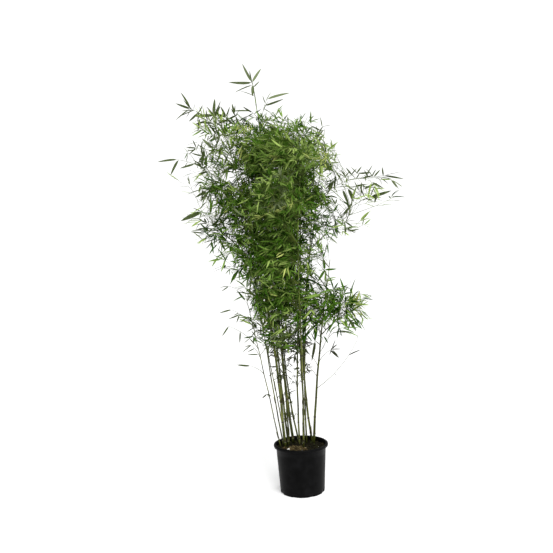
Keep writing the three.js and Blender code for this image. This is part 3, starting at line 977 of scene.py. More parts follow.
def is_inside(tree, point):
    """True if a point lies in a closed solid: a ray upwards leaves it an odd number of times."""
    hits, origin = 0, Vector(point)
    while True:
        spot = tree.ray_cast(origin, Vector((0.0, 0.0, 1.0)))[0]
        if spot is None:
            return hits % 2 == 1
        hits += 1
        origin = spot + Vector((0.0, 0.0, 1e-5))


def distance_outside(tree, point):
    """How far a point lies outside a closed solid, and 0 inside it."""
    return 0.0 if is_inside(tree, point) else tree.find_nearest(Vector(point))[3]


mass_trees = {name: tree_of(name) for name in MASS_NODES}
mass_boxes = {name: [np.array(corner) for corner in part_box(name)] for name in MASS_NODES}
print(len(mass_trees), "search trees")

# %% [markdown]
# ## Points that branches reach for
#
# The grid is walked once for each whole step of the greatest fullness, so a mass that
# is fuller than 1 gets a second helping of points. A seeded draw keeps or drops each
# point, and the points of the thick tufts are added at the end.

# %% Points to reach
GRID_PITCH = 0.05
TARGET_SLACK = 0.015


def mass_around(point):
    """The name of the mass that holds a point or lies closest to it, or None if all are further."""
    nearest, gap = None, TARGET_SLACK
    for name, (low, high) in mass_boxes.items():
        if np.all(point > low - gap) and np.all(point < high + gap):
            away = distance_outside(mass_trees[name], point)
            if away < gap:
                nearest, gap = name, away
    return nearest


def share_kept(point):
    """How much of the foliage stays here: less towards the domed top and in the sky gaps."""
    across = math.dist(point[:2], DOME_MIDDLE)
    dome = DOME_TOP - DOME_FALL * across ** 2
    kept = np.interp(point[2], [dome - DOME_EDGE, dome + DOME_FADE], [1.0, 0.0])
    kept *= np.interp(abs(point[0] - CLUMP_MIDDLE), [THINS_FROM, THINS_TO], [1.0, THINNEST])
    if CORE_HEIGHTS[0] < point[2] < CORE_HEIGHTS[1]:
        kept *= 1 + CORE_EXTRA * math.exp(-(((point[0] - CORE_MIDDLE) / CORE_REACH) ** 2))
    for x, z, half_width, half_height in SKY_GAPS:
        kept *= math.hypot((point[0] - x) / half_width, (point[2] - z) / half_height) > 1
    return kept


def targets_in_masses(rng):
    """Evenly spread, shaken points inside the masses, and the mass of each."""
    low = np.min([box[0] for box in mass_boxes.values()], axis=0)
    high = np.max([box[1] for box in mass_boxes.values()], axis=0)
    steps = [np.arange(a, b, GRID_PITCH) for a, b in zip(low, high)]
    grid = np.stack(np.meshgrid(*steps, indexing="ij"), axis=-1).reshape(-1, 3)
    points, homes = [], []
    for turn in range(math.ceil(max(FULLNESS.values()))):
        luck = rng.random(len(grid))
        for point, draw in zip(grid + rng.uniform(0, GRID_PITCH, grid.shape), luck):
            name = mass_around(point)
            if name and draw < FULLNESS[name] * share_kept(point) - turn:
                points.append(point)
                homes.append(name)
    for x, z, spread, count in THICK_TUFTS:
        tuft = rng.normal((x, 0.0, z), (spread / 2, TUFT_DEPTH, spread / 2), (count, 3))
        points.extend(tuft)
        homes.extend([TUFT_HOME] * count)
    return np.array(points), homes


grow_rng = np.random.default_rng(21)
targets, target_homes = targets_in_masses(grow_rng)
print(len(targets), "branches wanted")

# %% [markdown]
# ## Where a branch starts
#
# Any joint can carry a branch. The best one for a point is close by, and so far below
# it that the branch can rise at a natural slope. Each branch that a joint already
# carries counts against it, which spreads the branches along the canes.

# %% Joints to grow from
IDEAL_RISE = 0.8
LEAST_RISE = 0.02
SLOPE_COST = 0.7
DOWNHILL_COST = 0.25
CROWDING = 0.018

start_lines = [culm["joint_places"] for culm in culms.values()]
start_lines += [limb_lines[name][2::2] for name in BOUGH_NODES]
start_places = np.concatenate(start_lines)
start_directions = np.concatenate([unit(np.gradient(line, axis=0)) for line in start_lines])
print(len(start_places), "joints to grow from")


def choose_start(target, crowd):
    """The joint that a branch to this point most easily starts from."""
    way = target - start_places
    flat = np.hypot(way[:, 0], way[:, 1])
    rise = way[:, 2]
    cost = np.linalg.norm(way, axis=1) + SLOPE_COST * np.abs(rise - IDEAL_RISE * flat - LEAST_RISE)
    return int((cost + CROWDING * crowd + np.where(rise < 0, DOWNHILL_COST, 0)).argmin())


# %% [markdown]
# ## Branches, twigs and leaf fans
#
# A branch is a smooth curve with four control points: it sets out along the stem's
# own direction, swings out, and arrives at its target pointing outwards. Twigs leave
# it on alternate sides, and each twig ends in a fan of three to five leaves. All
# branches are worked out together as arrays, and so are all twigs and all leaves.

# %% Branches
BRANCH_STEPS = 9
BRANCH_SIDES = 5
BRANCH_RADIUS = 0.0007
BRANCH_THICKENS = 0.0022
BRANCH_TAPER = 0.35
FLATTER = [1, 1, 0.2]
ALONG_STEM = 0.5
OUT_OF_STEM = 0.6
SETTING_OUT = 0.4
ARRIVING = 0.35
ARRIVING_WANDER = 0.35
ARRIVING_RISE = [0, 0, 0.1]


def curved(starts, first, second, ends, steps):
    """Smooth curves from four control points each."""
    t = np.linspace(0, 1, steps)[None, :, None]
    return (
        starts[:, None] * (1 - t) ** 3 + first[:, None] * 3 * t * (1 - t) ** 2
        + second[:, None] * 3 * t * t * (1 - t) + ends[:, None] * t ** 3
    )


def grow_branches(rng):
    """A branch curve to each target."""
    crowd = np.zeros(len(start_places))
    chosen = np.zeros(len(targets), dtype=int)
    for number, target in enumerate(targets):
        chosen[number] = choose_start(target, crowd)
        crowd[chosen[number]] += 1
    starts = start_places[chosen]
    way = targets - starts
    length = np.linalg.norm(way, axis=1, keepdims=True)
    outward = unit(way * FLATTER)
    set_out = unit(ALONG_STEM * start_directions[chosen] + OUT_OF_STEM * outward)
    first = starts + set_out * length * SETTING_OUT
    arrive = unit(outward + rng.normal(0, ARRIVING_WANDER, outward.shape) + ARRIVING_RISE)
    second = targets - arrive * length * ARRIVING
    return curved(starts, first, second, targets, BRANCH_STEPS), length[:, 0]


branch_lines, branch_lengths = grow_branches(grow_rng)
branch_feet = BRANCH_RADIUS + BRANCH_THICKENS * branch_lengths
branch_radii = branch_feet[:, None] * np.linspace(1, BRANCH_TAPER, BRANCH_STEPS)
points, quads = tubes(branch_lines, branch_radii, BRANCH_SIDES)
add_piece("branches", points, [quads], [TWIG])
print(len(branch_lines), "branches, mean length", round(branch_lengths.mean(), 3))

# %% Twigs
TWIG_STEPS = 4
TWIG_SPACING = 0.045
TWIGS_PER_BRANCH = (3, 8)
TWIG_LENGTHS = (0.02, 0.07)
TWIG_SAG = 0.12
TWIGS_FROM = 0.38
TWIGS_OVER = 0.6
TWIG_SHIFT = 0.6
LAST_TWIG_SPREAD = 0.15
TWIG_SPREADS = (0.5, 1.0)
TWIG_WANDER = 0.25


def grow_twigs(rng):
    """Twigs on alternate sides of each branch's outer part, and one at its tip."""
    starts, directions, owners, places = [], [], [], []
    for number, (line, length) in enumerate(zip(branch_lines, branch_lengths)):
        count = int(np.clip(length / TWIG_SPACING, *TWIGS_PER_BRANCH))
        plane = unit(rng.normal(size=3))
        for k in range(count):
            last = k == count - 1
            place = 1.0 if last else TWIGS_FROM + TWIGS_OVER * (k + rng.random() * TWIG_SHIFT) / count
            spot = place * (BRANCH_STEPS - 1)
            here = int(min(spot, BRANCH_STEPS - 2))
            step = line[here + 1] - line[here]
            tangent = unit(step)
            aside = unit(np.cross(tangent, plane)) * (-1) ** k
            spread = LAST_TWIG_SPREAD if last else rng.uniform(*TWIG_SPREADS)
            starts.append(line[here] + step * (spot - here))
            directions.append(unit(tangent + spread * aside + rng.normal(0, TWIG_WANDER, 3)))
            owners.append(number)
            places.append(place)
    return np.array(starts), np.array(directions), np.array(owners), np.array(places)


twig_starts, twig_directions, twig_owners, twig_places = grow_twigs(grow_rng)
twig_lengths = grow_rng.uniform(*TWIG_LENGTHS, len(twig_starts))
bend = np.linspace(0, 1, TWIG_STEPS)[None, :, None]
twig_lines = (
    twig_starts[:, None] + twig_directions[:, None] * twig_lengths[:, None, None] * bend
    + np.array([0, 0, -TWIG_SAG]) * twig_lengths[:, None, None] * bend ** 2
)
print(len(twig_lines), "twigs")

# %% [markdown]
# ## Leaves
#
# A bamboo leaf is a narrow blade, widest in its lower third, drawn out to a long
# point and joined by a tiny stalk. It is folded a little along its midrib and it
# arches under its own weight. Seven stations along the blade are enough for that
# outline. Each leaf has its own direction, roll, length and droop. Low on the plant
# the fans hang, and near the top, in full light, they point up. Leaves at the heart
# are a little shorter than those at the edge.

# %% Leaf shape
LEAF_STATIONS = np.array([0.0, 0.04, 0.14, 0.34, 0.6, 0.83, 1.0])
LEAF_WIDTHS = np.array([0.1, 0.12, 0.76, 1.0, 0.88, 0.5, 0.0])


def leaf_mesh(base, direction, normal, length, width, droop, fold):
    """Corner points and faces of many leaves at once."""
    across = unit(np.cross(normal, direction))
    normal = np.cross(direction, across)
    run = LEAF_STATIONS[None, :, None] * length[:, None, None]
    sag = -droop[:, None, None] * LEAF_STATIONS[None, :, None] ** 2 * length[:, None, None]
    rib = base[:, None] + direction[:, None] * run + normal[:, None] * sag
    reach = LEAF_WIDTHS[None, :, None] * width[:, None, None] * 0.5
    lift = normal[:, None] * reach * fold[:, None, None]
    left = rib[:, :-1] + across[:, None] * reach[:, :-1] + lift[:, :-1]
    right = rib[:, :-1] - across[:, None] * reach[:, :-1] + lift[:, :-1]
    points = np.concatenate([left, rib[:, :-1], right, rib[:, -1:]], axis=1)
    rows = len(LEAF_STATIONS) - 1
    row = np.arange(rows - 1)
    left_quads = np.stack([row, row + rows, row + rows + 1, row + 1], -1)
    quads = np.concatenate([left_quads, left_quads + rows])
    tip = 3 * rows
    ends = np.array([[rows - 1, 2 * rows - 1, tip], [2 * rows - 1, 3 * rows - 1, tip]])
    corners = tip + 1
    leaves = len(base)
    return points.reshape(-1, 3), for_copies(quads, leaves, corners), for_copies(ends, leaves, corners)


# %% Leaf fans
FAN = 5
LEAST_LEAVES = 3
FAN_ANGLES = np.radians([4, -26, 30, -48, 54])
ANGLE_SPREAD = 0.16
FAN_TILT = 0.6
FAN_PITCH = (0.004, 0.009)
FAN_FALL = 0.38
LEAF_FALL = 0.18
FAN_SIZES = (0.75, 1.2)
LEAF_SIZES = (0.8, 1.12)
HANG_BY_HEIGHT = ([1.1, 1.5, 1.8, 2.05], [0.25, 0.12, 0.0, -0.35])
HEART_MASSES = ("crest", "heart", "waist", "skirt", "spray_front")
HEART_LEAF = 0.057
EDGE_LEAF = 0.07
UP = np.array([0.0, 0.0, 1.0])


def grow_leaves(rng):
    """A fan of leaves at the end of each twig: base, direction, size and twig of each."""
    count = len(twig_lines)
    heading = unit(twig_lines[:, -1] - twig_lines[:, -2])
    plane = unit(UP + rng.normal(0, FAN_TILT, (count, 3)))
    aside = unit(np.cross(heading, plane))
    order = np.arange(FAN)
    angle = FAN_ANGLES[None] + rng.normal(0, ANGLE_SPREAD, (count, FAN))
    back = order[None] * rng.uniform(*FAN_PITCH, (count, 1))
    base = twig_lines[:, -1][:, None] - heading[:, None] * back[..., None]
    direction = heading[:, None] * np.cos(angle)[..., None] + aside[:, None] * np.sin(angle)[..., None]
    hang = np.interp(twig_starts[:, 2], *HANG_BY_HEIGHT)[:, None, None]
    fall = hang + rng.uniform(-FAN_FALL, FAN_FALL, (count, 1, 1))
    fall = fall + rng.uniform(-LEAF_FALL, LEAF_FALL, (count, FAN, 1))
    direction = unit(direction - UP * fall)
    at_heart = np.array([target_homes[owner].startswith(HEART_MASSES) for owner in twig_owners])
    typical = np.where(at_heart, HEART_LEAF, EDGE_LEAF)
    size = typical[:, None] * rng.uniform(*FAN_SIZES, (count, 1)) * rng.uniform(*LEAF_SIZES, (count, FAN))
    keep = order[None] < rng.integers(LEAST_LEAVES, FAN + 1, (count, 1))
    spray = np.repeat(np.arange(count)[:, None], FAN, axis=1)
    return base[keep], direction[keep], size[keep], spray[keep]


leaf_base, leaf_direction, leaf_length, leaf_spray = grow_leaves(grow_rng)
print(len(leaf_base), "leaves grown")

# %% [markdown]
# ## Leaves that stray
#
# The fans grow without a look at the masses, so some leaves reach too far out. A leaf
# stays if its tip lies in a mass, or no further outside than its spray's own slack,
# and if it keeps to the box of the whole plant with a small margin.

# %% Leave out what strays
PROUD = 0.025
STRAYS_UP_TO = 0.06
NEARBY = 0.1
FAR_AWAY = 9.0


def outside_by(points):
    """How far each point lies outside all the masses, and 0 inside one."""
    result = np.full(len(points), FAR_AWAY)
    for name, tree in mass_trees.items():
        low, high = mass_boxes[name]
        close = np.all((points > low - NEARBY) & (points < high + NEARBY), axis=1)
        for i in np.where(close & (result > 0))[0]:
            result[i] = min(result[i], distance_outside(tree, points[i]))
    return result


slack = grow_rng.uniform(0.0, STRAYS_UP_TO, len(twig_lines))[leaf_spray]
leaf_tips = leaf_base + leaf_direction * leaf_length[:, None]
in_box = (leaf_tips > np.array(CAD_BOX[0]) - PROUD) & (leaf_tips < np.array(CAD_BOX[1]) + PROUD)
kept = (outside_by(leaf_tips) <= slack) & in_box.all(axis=1)
leaf_base, leaf_direction, leaf_length, leaf_spray = (
    part[kept] for part in (leaf_base, leaf_direction, leaf_length, leaf_spray)
)
print(len(leaf_base), "leaves kept of", len(kept))

# %% Twig mesh
TWIG_SIDES = 4
TWIG_RADII = (0.0009, 0.0005)

bearing = np.unique(leaf_spray)
twig_radii = np.tile(np.linspace(*TWIG_RADII, TWIG_STEPS), (len(bearing), 1))
points, quads = tubes(twig_lines[bearing], twig_radii, TWIG_SIDES)
add_piece("twigs", points, [quads], [TWIG])
print(len(bearing), "twigs with leaves")

# %% [markdown]
# ## Sprays that stand apart
#
# Round the edge of the crown single sprays stand clear against the light, and the
# eye reads the clump's outline from them. So they are listed one by one. Each has the limb
# and height that its twig leaves from, the twig's tip, and its leaves. A leaf is
# given by its place along the twig, its bearing seen from the front, where 0 points
# right and 90 up, and its length in millimetres, which one factor then scales for all.
# A fourth number, where there is one, says how broad the blade looks: from 0 for
# edge-on to 1 for flat to the front, and above 1 for a leaf broader than most.

# %% Sprays listed one by one
LONE_SPRAYS = [
    ("culm_05", 2.10, (-0.185, 0.0, 2.245),
     [(1, 117, 92, 0.7), (0.95, 60, 92, 1.0), (0.97, 181, 108, 0.3), (0.8, 194, 92, 0.2),
      (0.8, 265, 50, 1.6), (0.35, 153, 79, 0.35), (0.9, 100, 60, 0.6), (0.7, 40, 40, 0.5)]),
    ("culm_05", 2.04, (-0.199, 0.0, 2.09),
     [(1, 178, 92, 0.8), (0.6, 30, 40, 0.6), (0.8, 150, 50, 0.6), (0.7, -150, 40, 0.5)]),
    ("culm_05", 1.98, (-0.108, 0.0, 2.149),
     [(1, 12, 111, 0.9), (0.7, 13, 95, 0.2), (0.5, 67, 59, 0.6), (0.3, 52, 28, 0.8), (0.6, -35, 40, 0.3),
      (0.9, 60, 50, 0.6), (0.8, 110, 40, 0.5)]),
    ("culm_03", 1.90, (-0.397, -0.03, 2.07),
     [(1, 84, 80, 1.0), (1, 61, 84, 0.25), (1, 124, 52, 0.8), (0.95, 53, 50, 1.0), (0.9, 60, 56, 0.8),
      (0.8, 108, 38, 0.7), (1, 180, 88, 1.0), (0.9, 70, 40, 0.5), (0.7, 125, 36, 0.6), (0.6, 60, 36, 0.6),
      (0.8, 20, 44, 0.6), (0.7, -20, 40, 0.5), (0.5, 150, 44, 0.6), (0.5, -70, 40, 0.5)]),
    ("culm_03", 1.90, (-0.52, -0.03, 2.112),
     [(1, 115, 85, 0.8), (0.95, 133, 60, 0.3), (0.92, 74, 34, 0.6), (1, 100, 24, 0.6), (0.9, 176, 66, 0.8),
      (0.97, -131, 50, 0.8), (1, -145, 88, 0.8), (0.8, 60, 44, 0.6), (0.8, -100, 44, 0.6),
      (0.7, 150, 40, 0.6), (1, 160, 70, 0.7), (0.9, -160, 76, 0.8), (0.8, -140, 60, 0.8)]),
    ("culm_03", 1.88, (-0.474, -0.02, 2.058),
     [(1, -102, 58, 1.0), (0.85, -82, 36, 0.4), (1, -150, 54, 0.5), (0.7, -60, 40, 0.5), (0.6, 160, 40, 0.4),
      (0.9, 120, 40, 0.6), (0.5, -110, 44, 0.6)]),
    ("culm_04", 1.88, (-0.33, -0.03, 2.06),
     [(1, 115, 56, 0.9), (1, 65, 50, 0.7), (1, 160, 56, 0.6), (0.9, 20, 50, 0.7), (0.9, -160, 56, 0.8),
      (0.8, -40, 44, 0.6), (0.7, 140, 50, 0.7)]),
    ("culm_03", 1.90, (-0.43, -0.03, 2.045),
     [(1, 150, 60, 0.7), (1, 95, 50, 0.8), (1, -165, 64, 0.8), (0.9, 50, 44, 0.7), (0.9, -120, 50, 0.7),
      (0.8, 175, 60, 0.6), (0.7, -70, 44, 0.7)]),
    ("culm_03", 1.84, (-0.439, -0.02, 1.995),
     [(1, 176, 62, 0.5), (1, -150, 36, 0.6), (0.8, 120, 44, 0.6), (0.7, -80, 44, 0.6)]),
    ("culm_03", 1.88, (-0.345, -0.03, 2.02),
     [(1, 150, 40, 0.7), (1, -140, 36, 0.7), (1, 60, 34, 0.6), (0.8, -60, 36, 0.7), (0.7, 20, 40, 0.6)]),
    ("culm_04", 1.90, (-0.285, -0.03, 2.075),
     [(1, 100, 46, 1.1), (1, 80, 40, 0.9), (0.9, 120, 40, 0.8), (0.9, 60, 40, 0.7), (0.9, -75, 44, 0.9),
      (0.8, -100, 38, 0.9), (0.7, 30, 40, 0.6)]),
    ("culm_04", 1.93, (-0.22, -0.03, 2.06),
     [(1, -130, 40, 0.5), (1, 5, 40, 0.3), (0.9, -125, 44, 0.5), (0.8, -40, 44, 0.6), (0.7, -60, 40, 0.6)]),
    ("bough_left_high", 1.78, (-0.61, 0.01, 1.85),
     [(1, -176, 92, 0.95), (0.95, -122, 82, 0.95), (0.45, -165, 70), (0.7, 80, 36), (0.5, -15, 45),
      (0.65, -130, 42)]),
    ("bough_left_high", 1.80, (-0.55, 0.0, 1.885),
     [(1, 120, 30, 0.5), (1, 60, 40, 0.5), (1, -120, 36, 0.5),
      (0.8, 170, 40, 0.4)]),
    ("bough_left_high", 1.77, (-0.475, 0.0, 1.815),
     [(1, 84, 80, 1.1), (1, 108, 40, 0.7), (0.8, 62, 50, 0.7), (1, 150, 45, 0.5)]),
    ("culm_03", 1.82, (-0.50, -0.02, 1.905),
     [(1, 175, 50, 0.6), (1, 112, 48, 0.8), (1, -140, 46, 0.7), (0.9, 62, 40, 0.6), (0.8, -85, 44, 0.8),
      (0.75, 150, 44, 0.6)]),
    ("culm_03", 1.80, (-0.47, -0.02, 1.86),
     [(1, 165, 50, 0.7), (1, 95, 44, 0.7), (1, -120, 50, 0.8), (0.8, -60, 40, 0.7), (0.7, 130, 40, 0.6)]),
    ("culm_03", 1.84, (-0.477, -0.03, 1.935), [(1, 188, 68, 0.4), (0.6, 150, 50, 0.6), (0.8, -120, 40, 0.8)]),
    ("culm_03", 1.86, (-0.405, -0.04, 1.89), [(1, 133, 74, 1.1), (1, 100, 50, 0.6), (0.8, -150, 50, 0.7)]),
    ("culm_03", 1.55, (-0.48, 0.0, 1.68),
     [(1, -168, 76), (1, -55, 56), (1, -95, 56), (0.9, -155, 70), (1, 110, 32)]),
    ("bough_left_low", 1.48, (-0.49, 0.0, 1.56), [(1, -162, 112, 1.2), (1, 150, 46), (0.98, -110, 36, 1.1)]),
    ("bough_left_low", 1.46, (-0.50, 0.0, 1.50), [(1, -48, 70), (1, -130, 38), (0.5, 30, 52)]),
    ("bough_left_low", 1.40, (-0.47, 0.0, 1.46), [(1, 176, 80), (0.9, -172, 54), (0.95, -95, 28)]),
    ("bough_left_low", 1.35, (-0.44, 0.0, 1.41),
     [(1, -100, 42), (0.9, -168, 55), (0.8, -40, 30), (0.4, -160, 42)]),
    ("culm_02", 1.02, (-0.36, 0.0, 1.15), [(1, -175, 42), (1, -145, 42), (0.75, 10, 42), (0.55, 175, 42)]),
    ("culm_01", 0.92, (-0.35, 0.0, 1.02), [(1, -168, 60), (0.7, -160, 28), (0.3, -178, 46)]),
    ("culm_01", 0.80, (-0.37, 0.0, 0.93),
     [(1, -125, 56), (0.65, -95, 60), (0.35, -145, 40), (0.35, -55, 32)]),
    ("culm_01", 0.74, (-0.25, 0.0, 0.82), [(1, -145, 56), (0.3, 178, 54), (0.7, -150, 40), (1, -170, 32)]),
    ("culm_02", 0.90, (-0.31, 0.0, 0.99),
     [(1, -160, 52, 0.7), (1, -110, 44, 0.7), (0.8, 160, 44, 0.6), (0.7, -50, 36, 0.7)]),
    ("culm_02", 0.80, (-0.235, 0.0, 0.87),
     [(1, -170, 50, 0.7), (1, -95, 46, 0.8), (0.8, 130, 40, 0.7), (0.7, -40, 36, 0.7)]),
    ("culm_01", 0.66, (-0.26, -0.02, 0.71), [(1, 178, 70), (1, 168, 54)]),
    ("culm_01", 0.53, (-0.175, -0.02, 0.55), [(1, -145, 30, 1.6), (1, -30, 24, 1.6)]),
    ("culm_09", 0.66, (0.055, -0.02, 0.71), [(1, -150, 16, 2.0), (1, -40, 16, 2.0)]),
    ("culm_05", 0.56, (-0.02, 0.0, 0.672), [(1, 50, 28, 1.2), (0.6, 130, 24, 1.5), (0.75, 20, 20)]),
    ("culm_05", 0.70, (-0.04, 0.0, 0.79),
     [(1, -150, 40, 0.9), (1, -40, 34, 0.9), (0.7, 175, 36), (0.6, 20, 40)]),
    ("culm_06", 0.66, (-0.02, 0.0, 0.745), [(1, -170, 40, 0.9), (0.9, -30, 28, 0.9), (0.6, -110, 34)]),
    ("culm_07", 0.70, (0.0, 0.0, 0.78),
     [(1, -120, 46, 0.9), (1, -50, 34, 0.9), (0.8, 160, 32), (0.5, 70, 30)]),
    ("culm_04", 0.68, (-0.13, 0.0, 0.77), [(1, -145, 40, 0.9), (1, -60, 36), (0.6, 160, 30)]),
    ("culm_03", 0.50, (-0.11, -0.02, 0.54), [(1, -120, 20, 1.3), (0.8, 40, 22, 1.3)]),
    ("culm_05", 0.46, (-0.05, 0.0, 0.51), [(1, 130, 20, 1.5), (1, -60, 24, 1.3), (0.6, 30, 20, 1.3)]),
    ("culm_11", 1.14, (0.168, -0.01, 1.22),
     [(1, 95, 54, 1.2), (1, 0, 56, 0.8), (0.95, 180, 36, 0.8), (0.95, -125, 66, 1.2)]),
    ("culm_11", 1.01, (0.21, -0.03, 1.11), [(1, 105, 75), (1, 55, 42), (0.8, 135, 50)]),
    ("bough_right_foot", 0.95, (0.27, -0.03, 1.095), [(1, 106, 70), (0.9, 5, 42), (0.8, 60, 50)]),
    ("bough_right_foot", 0.97, (0.29, -0.05, 1.01),
     [(1, 50, 74, 0.8), (1, 22, 68, 0.4), (0.95, 0, 62, 0.5), (1, -18, 72, 0.7), (1, -58, 60, 0.6),
      (0.8, -64, 62, 0.6), (0.65, -92, 50), (0.5, -88, 56), (0.5, -40, 42), (0.95, -125, 52, 0.5)]),
    ("bough_right_foot", 0.93, (0.305, -0.04, 0.935),
     [(1, -40, 58, 0.9), (1, -75, 50, 0.8), (0.9, -110, 46, 0.8), (0.8, 15, 44, 0.7), (0.6, -60, 48, 0.8)]),
    ("culm_11", 0.56, (0.33, 0.0, 0.827), [(0.75, 27, 66, 0.7), (1, 80, 30, 0.2), (0.4, -35, 22, 0.5)]),
    ("culm_11", 0.70, (0.19, 0.0, 0.78),
     [(1, -115, 32), (1, 0, 46), (1, -45, 50), (1, 70, 50), (0.9, -45, 58), (0.9, 40, 44)]),
    ("culm_11", 0.68, (0.05, 0.0, 0.77), [(1, 125, 46), (0.7, 135, 40)]),
    ("culm_11", 0.62, (0.05, 0.0, 0.69), [(1, 40, 28), (1, -65, 30), (1, 135, 24)]),
    ("culm_11", 0.84, (0.112, -0.03, 0.92), [(1, -99, 78, 1.1), (1, 60, 30, 0.9)]),
    ("culm_11", 0.76, (0.148, -0.03, 0.86), [(1, -62, 46, 1.0), (0.8, 150, 34, 0.9)]),
    ("culm_09", 0.76, (0.055, -0.03, 0.87), [(1, -112, 46, 1.1), (1, -50, 40, 1.0), (0.8, 70, 36, 1.0)]),
    ("culm_11", 0.80, (0.10, -0.03, 0.835), [(1, -101, 98, 0.95), (1, -42, 46, 0.5), (1, 115, 45)]),
    ("bough_right_high", 1.66, (0.26, 0.03, 1.74),
     [(0.8, -100, 75, 0.7), (0.4, -135, 55), (0.5, -115, 80, 0.7), (0.75, 115, 36), (1, 35, 30),
      (0.25, -130, 42), (1, -30, 50)]),
    ("culm_10", 1.66, (0.372, 0.0, 1.732),
     [(0.97, 130, 46, 0.9), (0.95, 55, 46, 0.9), (0.85, 128, 46, 0.9), (0.83, 50, 42, 0.9),
      (0.72, 125, 42, 0.9),
      (0.7, 48, 42, 0.8), (0.6, 120, 40, 0.8), (0.55, 60, 36, 0.7), (0.4, 115, 40, 0.7), (0.35, 50, 40, 0.7),
      (1, 2, 56, 0.6), (0.8, -30, 40, 0.5)]),
    ("bough_right_high", 1.70, (0.507, 0.0, 1.714),
     [(1, -12, 92, 0.9), (1, 10, 84, 0.4), (0.98, 95, 42, 0.9), (0.75, 45, 46, 0.9), (0.72, 125, 50, 0.8),
      (0.7, 60, 40, 0.9), (0.78, -38, 75, 0.4), (0.62, 120, 40, 0.7), (0.55, 55, 36, 0.7), (0.3, 55, 44, 0.8),
      (0.3, 135, 44, 0.8), (0.35, -5, 45, 0.5), (0.45, 10, 60, 0.4)]),
    ("bough_right_high", 1.62, (0.31, 0.0, 1.653),
     [(1, 10, 56, 0.6), (1, -71, 66, 1.2), (0.82, -70, 82, 1.2), (0.98, -40, 40, 0.6), (1, -64, 56, 0.9),
      (0.9, 115, 36, 0.7), (1, -55, 60, 0.6)]),
    ("bough_right_high", 1.67, (0.375, 0.0, 1.665), [(1, -71, 60, 0.5), (0.85, 8, 48, 0.9)]),
    # Leaves are so small that each keeps one plain colour, and what varies is which green a whole spray gets.
    # Seven tints run from old and dark to young and yellow; the darker ones also serve as painted shade
    # inside the crown, and the lighter ones as painted light near its top. The last three stand apart from
    # that run: greyed, bleached, and old at the foot of the plant.
    ("bough_right_low", 1.46, (0.43, 0.0, 1.605),
     [(1, 65, 62, 0.6), (1, 13, 104, 0.6), (0.95, 0, 42, 0.6), (0.97, -14, 72, 0.3), (0.98, -8, 54, 0.3),
      (0.93, -150, 30, 0.8), (0.93, 40, 32, 0.9), (0.88, -20, 34, 0.9), (0.4, -105, 32, 0.9),
      (0.9, 150, 30, 0.8)]),
    ("bough_right_low", 1.45, (0.332, 0.0, 1.575),
     [(1, -126, 92, 0.35), (0.9, -128, 70, 0.35), (1, 70, 30, 0.5)]),
    ("bough_right_low", 1.44, (0.29, 0.0, 1.475),
     [(0.45, -90, 56, 0.7), (0.4, -170, 70, 0.6), (0.95, -88, 65, 0.9), (1, -40, 45), (0.9, 10, 56, 0.6),
      (0.8, 150, 50, 0.6), (1, 60, 46, 0.6)]),
    ("culm_10", 1.34, (0.21, 0.0, 1.40),
     [(0.9, -40, 55), (0.5, -130, 28), (0.8, 0, 28), (0.4, 30, 32), (1, -80, 24)]),
    ("culm_10", 1.72, (0.20, -0.05, 1.85),
     [(1, 40, 66), (1, 5, 46), (0.95, 100, 56), (0.85, 110, 60), (0.7, -60, 56), (0.45, -20, 55)]),
    ("culm_09", 1.88, (0.18, -0.05, 1.98),
     [(1, 95, 50), (1, 15, 50), (0.65, 55, 42), (0.1, 50, 65), (0.1, 130, 80), (0.45, 45, 50),
      (0.25, -20, 70),
      (0.8, 150, 50), (0.6, 100, 44), (0.5, -40, 50)]),
]
print(len(LONE_SPRAYS), "sprays to set")

# %% Twigs and leaves of the listed sprays
LONE_STEPS = 9
LONE_SCALE = 1.2
LONE_DEPTHS = (-0.4, 0.4)
USUAL_FACE = (0.6, 1.0)
SAGS_BELOW = 0.6
SAGGING = ([0.35, 0.35, 0.2], [0.75, 0.75, 0.55])
RISING = ([0.2, 0.2, 0.5], [0.65, 0.65, 0.85])


def point_at_height(line, height):
    """The point of a limb's centre line at a height."""
    return np.array([np.interp(height, line[:, 2], line[:, axis]) for axis in range(3)])


def lone_twig(limb, height, tip):
    """The curve of a listed twig: it leaves steeply and arrives flatter, or sags if it is low."""
    start = point_at_height(limb_lines[limb], height)
    way = np.array(tip) - start
    near_start, near_tip = SAGGING if height < SAGS_BELOW else RISING
    first = start + way * near_start
    second = start + way * near_tip
    return curved(start[None], first[None], second[None], np.array([tip]), LONE_STEPS)[0]


lone_rng = np.random.default_rng(8)
lone_lines = np.array([lone_twig(limb, height, tip) for limb, height, tip, leaves in LONE_SPRAYS])
lone_base, lone_direction, lone_length, lone_spray, lone_face = [], [], [], [], []
for number, (line, (limb, height, tip, leaves)) in enumerate(zip(lone_lines, LONE_SPRAYS)):
    for place, bearing, length, *face in leaves:
        lone_face.append(face[0] if face else lone_rng.uniform(*USUAL_FACE))
        spot = place * (LONE_STEPS - 1)
        lone_base.append([np.interp(spot, np.arange(LONE_STEPS), line[:, axis]) for axis in range(3)])
        turn = math.radians(bearing)
        lone_direction.append((math.cos(turn), lone_rng.uniform(*LONE_DEPTHS), math.sin(turn)))
        lone_length.append(LONE_SCALE * length / 1000)
        lone_spray.append(number)
hand_set = len(lone_base)
print(len(lone_lines), "lone sprays with", hand_set, "leaves")

# %% [markdown]
# ## Short shoots low on the canes
#
# Below the crown nearly every joint carries a few short, half-bare shoots with one to
# three small leaves each. They are too many to set by hand, so a loop walks up the
# joints, and a seeded draw turns and sizes each shoot. The lowest shoots are half the
# size of the others.

